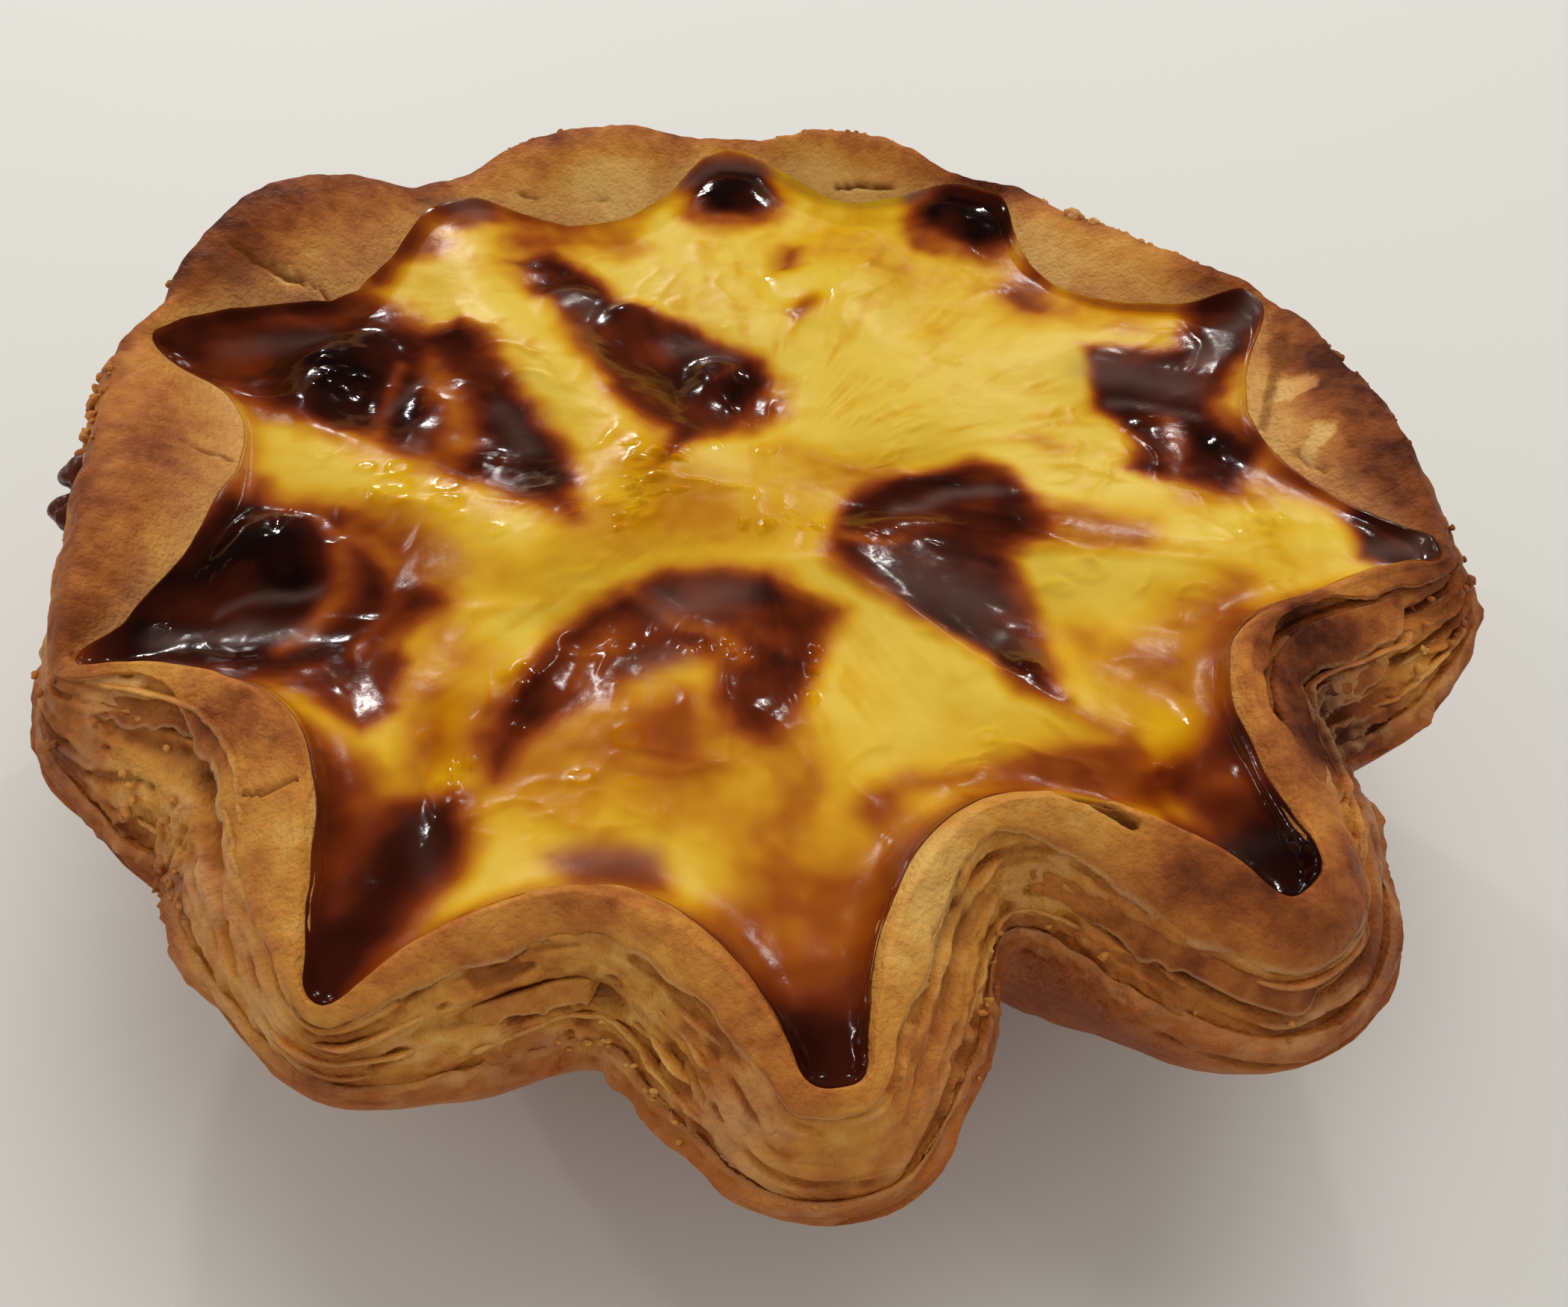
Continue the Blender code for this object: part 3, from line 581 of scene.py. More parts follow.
# Painted sheen on the scorched skin: a greyish tint that stands in for reflections of the room, where the
# skin is also made duller: line, half width, amount.
paintedSheenPlaces = [
    ([(20.6, 12.6), (24.4, 11.6)], 1.8, 0.55), ([(31.4, 20.4), (28.6, 17.0), (26.2, 13.4)], 0.8, 0.7),
    ([(20.6, 9.2), (25.0, 8.2)], 0.5, 0.5), ([(8.6, -6.6), (11.4, -8.4)], 2.2, 0.42),
    ([(7.6, -1.6), (13.0, 0.6)], 0.5, 0.45), ([(-3.4, -9.4), (-0.6, -8.4)], 1.3, 0.5),
    ([(-4.6, -13.8), (-2.8, -13.0)], 0.8, 0.4), ([(-27.0, -13.6), (-20.6, -12.6)], 0.6, 0.5),
    ([(-24.6, -11.6), (-20.6, -10.4)], 0.3, 0.4), ([(-5.4, 12.8), (-2.6, 12.0)], 1.0, 0.4),
    ([(21.4, -22.6), (24.6, -22.0)], 0.7, 0.1),
    ([(9.2, 32.6), (10.8, 34.8), (15.0, 35.2), (17.0, 32.6), (17.2, 28.6)], 0.7, 0.75),
    ([(-6.4, 33.0), (-4.4, 35.6), (-0.8, 35.4)], 0.6, 0.5), ([(-12.6, -23.4), (-11.6, -26.0)], 0.7, 0.15),
    ([(32.2, -3.4), (34.6, -3.2)], 0.8, 0.5), ([(-6.4, -24.6), (-3.0, -24.8)], 0.9, 0.4),
    ([(-22.4, 29.2), (-20.0, 27.6)], 0.9, 0.5), ([(-31.0, 10.4), (-27.0, 12.0)], 1.0, 0.3),
    ([(-14.6, 6.0), (-12.4, 2.4)], 0.8, 0.3), ([(-12.6, 17.6), (-10.4, 15.8)], 0.8, 0.4),
    ([(-20.6, 4.6), (-19.4, 8.6)], 0.3, 0.4),
]

# Places where the skin is a deeper yellow than the pale yellow skin, and one line of painted shade beside a
# crease: line, half width, amount.
deepYellowAndPaintedShade = [
    ([(-8, -4), (0, -3.4), (6, 0)], 3.2, 0.14), ([(-7, 2), (-3, -1)], 2.4, 0.2),
    ([(-8, -19.4), (-2, -17.6)], 2.4, 0.24), ([(-3, -21.8), (2, -22.6)], 2.0, 0.12),
    ([(18.6, 19.4), (24.6, 20.4)], 1.8, 0.24), ([(20, -13), (22, -9)], 2.2, 0.2),
    ([(-13, -16), (-13.6, -20)], 1.4, 0.2), ([(-20, -4.4), (-12, -8)], 2.0, 0.2),
    ([(2, 3.4), (6, 1)], 1.6, 0.2), ([(24, 0.6), (30, 2.6)], 1.4, 0.2),
    ([(-18, 25.4), (-15, 24)], 2.2, 0.2), ([(14.6, 25), (16.4, 18)], 1.6, 0.18),
    ([(4, 26), (9, 22)], 3.4, 0.14), ([(16, 5.2), (17, 4.2)], 0.7, 0.18),
    ([(16, -9), (17.5, -12)], 2.4, 0.05), ([(1.0, 22.4), (1.4, 24.8)], 0.9, 0.4),
    ([(2.2, 17.0), (2.8, 17.8)], 0.9, 0.42), ([(17.2, 24.2), (16.2, 19.4)], 1.2, 0.45),
    ([(24.6, -6.0), (23.8, -10.0), (23.6, -15.0)], 1.5, 0.36),
    ([(22.0, -8.0), (21.0, -12.0), (21.4, -15.0)], 1.8, 0.14),
    ([(-12.0, -21.0), (-4.0, -21.6), (4.0, -21.0)], 3.0, 0.1), ([(-2.6, -16.6), (-2.0, -19.6)], 1.6, 0.18),
    ([(16.6, -10.4), (18.4, -12.0), (17.6, -15.0)], 1.4, 0.14),
    ([(-16.0, -9.6), (-12.6, -13.4)], 1.2, 0.25), ([(-24.0, 2.6), (-19.0, -0.4), (-13.6, -3.4)], 0.8, 0.14),
    ([(14.0, 21.4), (20.0, 17.6), (25.6, 16.8)], 0.9, 0.12), ([(25.0, 3.6), (29.8, 2.6)], 1.6, 0.25),
    ([(2.0, -17.0), (3.0, -19.6), (2.6, -22.4), (1.6, -24.6)], 1.8, 0.24),
    ([(-17.6, -10.6), (-14.6, -15.0), (-12.6, -19.0)], 1.6, 0.22),
    ([(-1.8, -15.2), (-4.4, -18.4)], 2.6, 0.16),
    ([(6.3, -21.8), (8.1, -20.0), (11.5, -19.0), (15.0, -18.0), (17.6, -17.4)], 1.0, 0.36),
    # painted shade on the upper side of the crease, where less light falls
    ([(8.9, -8.8), (12.4, -12.0), (14.1, -13.6), (15.7, -15.2), (17.2, -16.4)], 0.6, 0.28),
    ([(17.0, -11.0), (20.0, -12.4)], 1.8, 0.14),
]

# Each bubble: x, y, radius.
bubbleDraw = np.random.default_rng(12)
bubbleSpots = np.array([
    (x + bubbleDraw.normal() * alongX * 0.6, y + bubbleDraw.normal() * alongY * 0.6,
     bubbleDraw.uniform(*filling["bubbleSizes"]))
    for x, y, alongX, alongY, number in filling["bubbles"] for _ in range(number)
])


def swellHeight(plan):
    total = np.zeros(len(plan))
    for x1, y1, x2, y2, height, spread in filling["swells"]:
        total += height * nearLine(plan, [(x1, y1), (x2, y2)], spread)
    return total


# Uneven wisps drawn out from the middle of the tart.
def wisps(plan, fineness, seed):
    around = np.degrees(np.arctan2(plan[:, 1], plan[:, 0]))
    outwards = np.hypot(*plan.T)
    upperRight = 0.5 + 0.5 * ease((plan @ (0.6, 0.8)) / 12.0)
    across = around * fineness + 0.8 * unevenness(flat(plan), 4.0, seed + 1.0)
    fade = ease((outwards - 3.0 / fineness * 0.6) / 8.0)
    return unevenness(np.column_stack([across, outwards * 0.28, 0.0 * around]), 1.0, seed) * fade * upperRight


# Thin folds of the skin, some drawn out from the middle and some winding.
def wrinkles(plan):
    shift = drift(plan, 3.0, 28.0, 29.0)
    winding = 1.0 - np.abs(unevenness(flat(plan + 1.4 * shift), 5.0, 26.0))
    drawn = 1.0 - np.abs(wisps(plan + 0.6 * shift, 0.12, 30.0) + 0.3 * unevenness(flat(plan), 2.0, 38.0))
    broken = ease((unevenness(flat(plan), 3.6, 39.0) + 0.1) / 0.4)
    awayFromMiddle = ease((np.hypot(*plan.T) - 6.0) / 6.0)
    return (np.clip(winding, 0.0, 1.0) ** 26 + np.clip(drawn, 0.0, 1.0) ** 22 * awayFromMiddle) * broken


# How dark the skin is, from pale yellow (0) to burnt (1).
def scorchAmount(plan, edgeDistance, bearings):
    shift = drift(plan, 2.6, 16.0, 17.0)
    place = plan + 0.5 * shift
    strands = wisps(plan, 0.3, 18.0) + 0.5 * wisps(plan, 0.8, 20.0)
    wander = unevenness(flat(plan), 1.2, 4.0) * 0.5 + 0.6 * strands
    feather = 0.6 * wisps(plan, 0.9, 60.0) + 0.6 * unevenness(flat(plan + 0.6 * shift), 0.8, 61.0)
    kept = np.ones(len(plan))
    for corners, softness, strength, ragged in scorch:
        away = outlineDistance(place, corners) + ragged * wander
        kept *= 1.0 - strength * ease(0.5 - away / (filling["edgeFade"] * softness))
    inner = unevenness(flat(place), 1.8, 14.0) + 0.6 * strands
    burnt = (1.0 - kept) * (1.0 + 0.14 * inner)
    for corners, width, amount in amberStreaks:
        burnt -= amount * nearLine(place, corners, width) * burnt
    for corners, width, amount in deepYellowAndPaintedShade:
        burnt += (1.0 - burnt) * amount * nearLine(place, corners, width)
    mottle = ease((unevenness(flat(place), 4.5, 22.0) + 0.9 * strands + 0.1) / 0.9)
    burnt += filling["mottle"] * mottle * (1.0 - burnt)
    flecks = ease((unevenness(flat(place), 1.6, 25.0) + 0.8 * strands - 0.4) / 0.25)
    burnt += filling["flecks"] * flecks * (1.0 - burnt)
    burnt += (filling["wrinkleBrown"] * wrinkles(plan) + filling["feather"] * burnt * feather) * (1.0 - burnt)
    usual, change = filling["syrup"]
    syrup = usual + change * unevenness(flat(plan), 5.0, 6.0)
    for bearing, spread, _, browner in filling["laps"]:
        syrup += browner * hump(turnFrom(bearings, bearing), spread)
    syrup *= hump(edgeDistance, 1.0)
    burnt += (1.0 - burnt) * np.clip(syrup, 0.0, 1.0)
    return np.clip(burnt, 0.0, 1.0)


# How much painted sheen lies at each place: a greyish tint that stands in for reflections.
def paintedSheenAmount(plan):
    place = plan + 0.4 * drift(plan, 1.6, 40.0, 44.0)
    total = np.zeros(len(plan))
    for corners, width, amount in paintedSheenPlaces:
        total = np.maximum(total, amount * nearLine(place, corners, width))
    return total * (0.85 + 0.3 * unevenness(flat(place), 1.0, 50.0))


# Height of the creases, blisters, rings, bubbles and crinkles, and how wet the skin looks.
def skinDetail(plan, burnt):
    height = np.zeros(len(plan))
    broken = 0.75 + 0.45 * unevenness(flat(plan), 2.6, 8.0)
    for corners, rise, width in filling["creases"]:
        away, place = lineDistance(plan, corners)
        away = away + 0.15 * unevenness(flat(plan), 1.6, 9.0)
        height += rise * broken * arch(place) ** 0.6 / (1.0 + (away / width) ** 2) ** 1.5
    for x, y, alongX, alongY, rise in filling["blisters"]:
        away = ((plan[:, 0] - x) / alongX) ** 2 + ((plan[:, 1] - y) / alongY) ** 2
        away *= 1.0 + 0.3 * unevenness(flat(plan), 2.0, 2.0)
        height += rise * np.clip(1.0 - away * 0.8, 0.0, 1.0) ** 2
    wet = np.zeros(len(plan))
    for x, y, radius in filling["ringsOfSkin"]:
        away = np.linalg.norm((plan - (x, y)) * (1.0, 1.25), axis=1) / radius
        height += filling["ringHeight"] * hump(away - 1.0, 0.25)
        height += filling["ringDome"] * np.exp(-((away / 0.7) ** 4))
        wet = np.maximum(wet, hump(away - 1.0, 0.35))
    for x, y, radius in bubbleSpots:
        near = np.hypot(plan[:, 0] - x, plan[:, 1] - y)
        height += filling["bubbleHeight"] * np.sqrt(np.clip(radius**2 - near**2, 0.0, None))
        wet = np.maximum(wet, ease(2.0 - near / radius))
    for corners, width in filling["wet"]:
        wet = np.maximum(wet, nearLine(plan, corners, width))
    shifted = plan + 0.5 * drift(plan, 1.5, 70.0, 71.0)
    crinkle = np.clip(1.0 - np.abs(unevenness(flat(shifted), 1.7, 72.0)), 0.0, 1.0) ** 7
    for corners, width, rise in filling["crinkled"]:
        near = nearLine(plan, corners, width)
        height += rise * near * crinkle
        wet = np.maximum(wet, 0.8 * near * crinkle)
    height += layered(flat(plan), filling["skinLumps"]) * (0.5 + 0.55 * burnt)
    height += filling["wrinkleHeight"] * wrinkles(plan)
    height += 0.1 * unevenness(flat(plan), 3.8, 11.0) * (1.0 - burnt)
    return height, wet


# Rings from the middle of the skin to its edge on the pastry, then down inside the cup to the floor.
def makeCustard():
    line = RimLine(filling["stations"])
    lap = filling["lap"] + 0.12 * unevenness(line.flow(0.0), 1.6, 27.0)
    for bearing, spread, extra, _ in filling["laps"]:
        lap += extra * hump(turnFrom(line.angle, bearing), spread)
    lap = np.clip(lap, 0.08, 0.55 * line.inner)
    edge = line.crest - line.outward * (line.inner - lap)[:, None]
    rows, burns, wets, paintedSheens = [], [], [], []
    for i in range(filling["rings"] + 1):
        share = i / filling["rings"]
        rise = rounded(line.rise[:, None], 5 + round(150 * (1.0 - share)))[:, 0]
        plan = line.ring(filling["disc"] * min(share / 0.5, 1.0))
        plan = plan + (edge - plan) * max(share - 0.5, 0.0) / 0.5
        free = 1.0 - share**6
        apart = ((plan[:, None, :] - edge[None, :, :]) ** 2).sum(axis=2)
        nearest = apart.argmin(axis=1)
        toEdge = np.sqrt(apart.min(axis=1))
        relief = swellHeight(plan) + filling["rise"] * (1.0 - share**2)
        up = free * relief + (1.0 - free) * rise
        seen = seenPlan(np.column_stack([plan, up + rim["custardEdge"]]))
        burnt = scorchAmount(seen, toEdge, line.angle)
        detail, wet = skinDetail(seen, burnt)
        up = up + detail * (1.0 - share**24)
        beside, reach = line.picked(nearest), lap[nearest]
        climb = np.clip(np.exp((reach - toEdge) / 0.5), 0.0, 1.0)
        up = up + (beside.rise + filling["skin"] - up) * climb
        if toEdge.min() < lap.max():
            climbed = np.clip((reach - toEdge) / beside.inner, 0.0, 0.95)
            face, _ = unevenFace(beside, climbed)
            steep = 0.5 * math.pi * np.cos(0.5 * math.pi * climbed)
            steep *= (beside.height - beside.rise) / beside.inner
            thinned = filling["skin"] * np.hypot(1.0, steep) * (0.4 + 0.6 * ease(toEdge / 0.25))
            up = np.where(toEdge < reach, face[:, 2] - rim["custardEdge"] + thinned, up)
        rows.append(np.column_stack([plan, up + rim["custardEdge"]]))
        burns.append(burnt)
        wets.append(wet)
        # Painted sheen: a greyish tint that stands in for reflections.
        paintedSheens.append(paintedSheenAmount(seen))
    rows[0] = pole(rows[1], rows[1][:, 2].mean())
    inside = line.crest - line.outward * (line.inner - 0.3)[:, None]
    rows.append(np.column_stack([inside, rim["custardEdge"] + line.rise - 0.3]))
    floor = line.ring(rim["floorRadius"] - filling["clearance"])
    level = rim["floorThickness"] + filling["clearance"]
    for share in (0.85, 0.4, 0.0):
        plan = floor + (inside - floor) * share ** rim["innerBelly"]
        rows.append(np.column_stack([plan, level + (rim["custardEdge"] + line.rise - level) * share]))
    rows.append(pole(rows[-1], level))
    hidden = len(rows) - len(burns)
    values = {"burn": burns, "wet": wets, "paintedSheen": paintedSheens}
    values = {key: value + value[-1:] * hidden for key, value in values.items()}
    return skinFromRows("custardFilling", rows, values)


custard = makeCustard()
print("custard laid,", len(custard.data.polygons), "faces")

# Pastry: ragged edges, sheets and browning.
pastry = {
    "capEnd": 0.29,  # share of the outer face where the top sheet stops
    "lastSheet": 0.83,  # share where the bottom sheet starts
    "sheets": 11.0,  # pastry layers from crest to lip
    "layerStations": 1500,
    "recess": 0.32,  # of the layers behind the top sheet's edge
    "topThickness": 0.7,
    "capDroop": 0.3,  # of the top sheet's edge
    "lastDroop": 0.22,  # of the bottom sheet's edge
    "backBrowner": 0.2,  # browning of the top sheet towards the back
    # rows of points across the inner face, the top sheet's outside, the layers, the cup's wall, the bottom
    # sheet and each torn sheet
    "rows": {"face": 26, "cap": 24, "layers": 60, "wall": 34, "last": 14, "torn": 14},
    "wallShare": 0.955,  # how far down the rows of the cup's wall start
    # unevenness: amount, size in millimetres, seed
    "toastNoise": [(0.22, 6.0, 31.0), (0.16, 2.6, 32.0), (0.1, 1.0, 33.0), (0.06, 0.45, 34.0)],
    "capNoise": [(0.07, 5.0, 51.0), (0.035, 1.8, 52.0), (0.02, 0.7, 53.0), (0.008, 0.35, 56.0)],
    "lastNoise": [(0.03, 5.0, 64.0), (0.02, 1.1, 65.0)],
    "lastBumps": [(0.32, 2.4, 66.0), (0.24, 0.9, 67.0), (0.12, 0.45, 68.0)],
    "tornNoise": [(0.05, 2.6, 47.0), (0.028, 0.8, 48.0), (0.012, 0.35, 49.0)],
    "flakeNoise": [(0.3, 0.9, 24.0), (0.12, 0.35, 23.0)],
    "reachNoise": [(0.75, 3.2, 83.0), (0.4, 1.0, 84.0)],
    "shadeNoise": [(0.22, 3.2, 98.0), (0.14, 1.1, 99.0)],
    "wallNoise": [(0.34, 5.0, 61.0), (0.07, 0.8, 63.0)],
    "curledNoise": [(0.16, 1.6, 74.0), (0.08, 0.5, 75.0)],
    "leafCurl": [(0.22, 4.0, 78.0), (0.08, 1.1, 80.0)],
    # middles of the loose leaves, as shares of the outer face
    "leaves": [0.37, 0.49, 0.60, 0.72],
    # section of a leaf from its root to its tip and back: depth, side, how pale, with painted shade towards
    # the buried root
    "leafSection": [(-1.3, -1.0, 0.2), (-0.4, -1.0, 0.5), (-0.1, -0.7, 0.8), (0.0, 0.0, 1.0),
                    (-0.1, 0.7, 0.85), (-0.4, 1.0, 0.55), (-1.3, 1.0, 0.2)],
    "leafThickness": 0.12,
    "leafLean": (0.75, 0.66),  # level and upright share of a leaf's direction
    # level and upright share of the inward direction, each at the crest and at the lip
    "inward": ((0.62, 0.92), (0.78, 0.33)),
    "flakeDepth": 0.14,
    # paleness of the fused layers, a painted highlight on their ridges, and the painted shade that clefts and
    # gaps take from it
    "usualShade": 0.52,
    "cleftShade": 0.32,
    "gapShade": 0.3,
    # relief of the fused layers, in millimetres
    "ridge": 0.19,
    "swell": 0.22,
    "pit": 0.34,
    "smallPit": 0.12,
    "tuckedDepth": 1.3,  # of a torn sheet where it doesn't show
    "tornThickness": 0.32,
    # where the top sheet is torn back or reaches further: bearing, spread, change in share
    "tornCap": [
        (213.5, 5.0, -0.24), (227.0, 7.0, 0.08), (236.0, 5.0, 0.08), (257.0, 6.0, -0.05),
        (325.0, 6.0, -0.2), (339.0, 9.0, -0.27), (292.0, 6.0, -0.06), (310.0, 8.0, 0.16),
        (352.0, 5.0, -0.12),
    ],
    # gaps between torn sheets: first and last angle, place at each end as a share of the face, spread, depth
    "gaps": [
        (315.0, 350.5, 0.11, 0.10, 0.03, 1.3), (318.0, 347.0, 0.43, 0.43, 0.02, 0.8),
        (210.0, 237.0, 0.20, 0.36, 0.045, 1.2), (282.0, 300.0, 0.34, 0.36, 0.03, 0.7),
        (344.0, 361.0, 0.32, 0.30, 0.03, 1.3), (343.0, 360.0, 0.55, 0.58, 0.035, 1.3),
        (347.0, 362.0, 0.74, 0.72, 0.025, 1.0),
    ],
    # single curled sheets: first and last angle, place at each end, how far they stand out
    "curled": [(317.0, 349.0, 0.44, 0.42, 0.2), (209.5, 236.0, 0.13, 0.27, 0.2)],
    # torn sheets that lie along the face: first and last angle, start and end on the face, depth, browner
    "torn": [
        (316.0, 350.0, 0.155, 0.40, 0.12, 0.10), (317.0, 347.0, 0.46, 0.60, 0.40, 0.04),
        (208.5, 229.0, 0.13, 0.33, 0.38, 0.22), (250.0, 262.0, 0.52, 0.66, 0.30, 0.02),
        (296.0, 312.0, 0.50, 0.66, 0.30, 0.16), (183.0, 203.0, 0.40, 0.60, 0.30, 0.05),
    ],
    # places where the top sheet has flaked off: outlines
    "flaked": [
        [(30.0, 10.4), (30.6, 11.6), (31.4, 12.9), (33.2, 13.1), (33.2, 12.0), (31.9, 11.2), (31.4, 10.4)],
        [(30.4, 3.9), (30.6, 5.8), (31.6, 7.0), (32.0, 8.6), (33.3, 8.3), (32.8, 6.9), (31.4, 5.6),
         (31.5, 3.4)],
        [(-31.8, 19.4), (-31.4, 20.2), (-30.4, 19.8), (-29.6, 18.7), (-30.4, 18.0)],
    ],
    # cracks and pits of the top sheet: corners, half width, depth
    "cracks": [
        ([(-30.2, 1.1), (-29.4, 0.7), (-28.6, 0.5), (-28.0, 0.1)], 0.13, 0.3),
        ([(-27.0, -0.6), (-26.4, -1.2)], 0.1, 0.2),
        ([(-35.4, 22.8), (-33.8, 21.6), (-33.0, 20.5), (-32.2, 20.1)], 0.24, 0.45),
        ([(-31.7, 19.9), (-30.7, 19.3), (-29.5, 18.6)], 0.5, 0.35),
        ([(-29.4, 18.2), (-28.0, 17.7), (-26.9, 15.9)], 0.14, 0.3),
        ([(-17.6, 31.0), (-16.4, 30.4)], 0.35, 0.25), ([(-13.0, 30.6), (-12.0, 30.9)], 0.4, 0.2),
        ([(4.4, 34.2), (5.8, 34.7), (8.0, 34.6)], 0.45, 0.45), ([(32.0, 17.0), (31.2, 14.2)], 0.7, 0.3),
        ([(31.2, 14.2), (30.0, 10.8), (28.9, 7.4)], 0.34, 0.24), ([(30.4, 5.2), (31.6, 3.8)], 0.3, 0.25),
        ([(-20.5, -22.1), (-19.6, -22.0), (-18.6, -21.2)], 0.12, 0.3),
        ([(14.0, -19.5), (15.6, -20.2), (17.2, -21.4)], 0.36, 0.55),
        ([(-11.5, -28.2), (-9.8, -27.0), (-8.0, -26.2)], 0.24, 0.5),
    ],
    # browned places: x, y, radius, amount
    "toasted": [
        (-32.0, 27.0, 5.0, 0.32), (-34.5, 18.0, 3.5, 0.3), (-33.0, -3.0, 4.0, 0.16),
        (-32.5, 3.0, 3.5, 0.14), (-24.0, 33.0, 4.0, 0.25), (15.0, 36.5, 4.0, 0.3), (35.5, 10.0, 5.0, 0.45),
        (34.5, 2.0, 4.0, 0.45), (33.0, 15.0, 3.0, 0.25), (35.5, -5.0, 4.0, 0.35), (-26.0, 21.0, 2.4, 0.35),
        (-28.0, 15.4, 1.8, 0.45), (22.0, -27.0, 4.5, 0.16), (-22.5, -18.0, 3.0, 0.12),
        (29.5, 22.5, 3.0, 0.35), (-33.5, -4.0, 4.0, 0.12), (-30.0, -12.0, 2.5, 0.22),
        (25.0, -23.0, 3.0, 0.22), (13.0, -30.0, 3.0, 0.2), (26.0, -8.0, 3.0, 0.12), (-2.5, 35.0, 3.5, 0.3),
        (-29.5, 14.6, 1.6, 0.4), (12.5, 34.0, 4.0, 0.25), (5.0, 35.0, 5.0, -0.26), (-12.0, 32.0, 6.0, -0.3),
        (22.0, 27.0, 6.0, -0.3), (-9.0, -28.0, 6.0, -0.24), (12.0, -21.0, 7.0, -0.08),
        (-23.0, -20.0, 4.0, -0.1), (30.5, 13.0, 2.0, -0.2), (31.5, 7.5, 1.5, -0.25),
        (-30.0, 12.0, 2.0, -0.15), (-33.0, -11.0, 4.0, 0.18), (27.6, -9.0, 3.4, 0.42),
        (27.0, -16.0, 3.6, 0.48), (24.0, -27.0, 5.0, 0.06), (-12.0, 34.0, 4.0, -0.08),
        (-10.0, -33.0, 4.0, 0.1), (15.0, -30.0, 6.0, 0.12), (-29.0, -20.0, 3.5, 0.2),
        (-25.0, -29.0, 4.0, 0.16), (33.0, -9.0, 3.0, 0.14), (-22.6, -18.2, 2.2, 0.2),
        (-18.2, -24.0, 1.8, -0.22), (-27.6, -17.0, 2.2, -0.15), (-6.0, -26.4, 1.8, 0.14),
        (7.2, -28.0, 2.6, -0.14), (8.4, -23.8, 1.8, -0.1), (18.6, -24.8, 2.4, 0.14),
        (-22.6, 29.0, 1.8, 0.4), (-6.9, -31.4, 3.4, 0.12), (-15.6, -33.0, 3.0, -0.12),
    ],
}


def flakedShare(plan):
    away = np.min([outlineDistance(plan, corners) for corners in pastry["flaked"]], axis=0)
    away += layered(flat(plan), pastry["flakeNoise"])
    return ease(0.5 - away / 0.2)


def crackDepth(plan):
    depth = np.zeros(len(plan))
    ragged = unevenness(flat(plan), 0.7, 21.0)
    for corners, width, deepest in pastry["cracks"]:
        away = lineDistance(plan, corners)[0] + 0.3 * width * ragged
        depth = np.maximum(depth, deepest * ease(1.3 - away / width))
    return depth


def toastAmount(points):
    seen = seenPlan(points)
    amount = 0.4 + layered(points, pastry["toastNoise"])
    for x, y, radius, extra in pastry["toasted"]:
        amount += extra * hump(np.linalg.norm(seen - (x, y), axis=1), radius)
    return amount


# A point at a depth below the outer face, in a direction that turns level towards the lip.
def sunk(line, share, depth):
    out, up = line.outerFace(share)
    level, upright = ((1.0 - share) * atCrest + share * atLip for atCrest, atLip in pastry["inward"])
    return out - level * depth, up - upright * depth


# Where the top sheet ends and the bottom sheet starts, as shares of the outer face.
def capEdge(line):
    ragged = layered(line.flow(0.0), pastry["capNoise"])
    for bearing, spread, change in pastry["tornCap"]:
        ragged += change * hump(turnFrom(line.angle, bearing), spread)
    return np.clip(pastry["capEnd"] + ragged, 0.035, 0.6)


def lastEdge(line):
    return pastry["lastSheet"] + layered(line.flow(9.0), pastry["lastNoise"])


# The depth of clefts or gaps where each station has its own place on the face.
def cleftAt(line, place, clefts):
    depth = np.zeros(line.count)
    for first, last, start, end, spread, deepest in clefts:
        phase = np.clip(np.mod(line.angle - first, 360.0) / (last - first), 0.0, 1.0)
        centre = start + (end - start) * phase
        depth += deepest * arch(phase) * hump(place - centre, spread)
    return depth


# Rows of a piece with the values that its finish reads: browning, paleness of edges with painted highlight
# and painted shade, cracks darkened with painted shade, and the plain wall.
class Rows:
    def __init__(self, line):
        self.line = line
        self.points = []
        self.values = {"toast": [], "paleEdgeAndPaintedLight": [], "crack": [], "wall": []}

    def add(self, row, edge=0.5, crack=0.0, wall=0.0, browner=0.0):
        self.points.append(row)
        given = {"toast": toastAmount(row) + browner, "paleEdgeAndPaintedLight": edge, "crack": crack, "wall": wall}
        for key, value in given.items():
            self.values[key].append(np.broadcast_to(value, self.line.count))

    def skin(self, name, tube=True):
        return skinFromRows(name, self.points, self.values, tube)


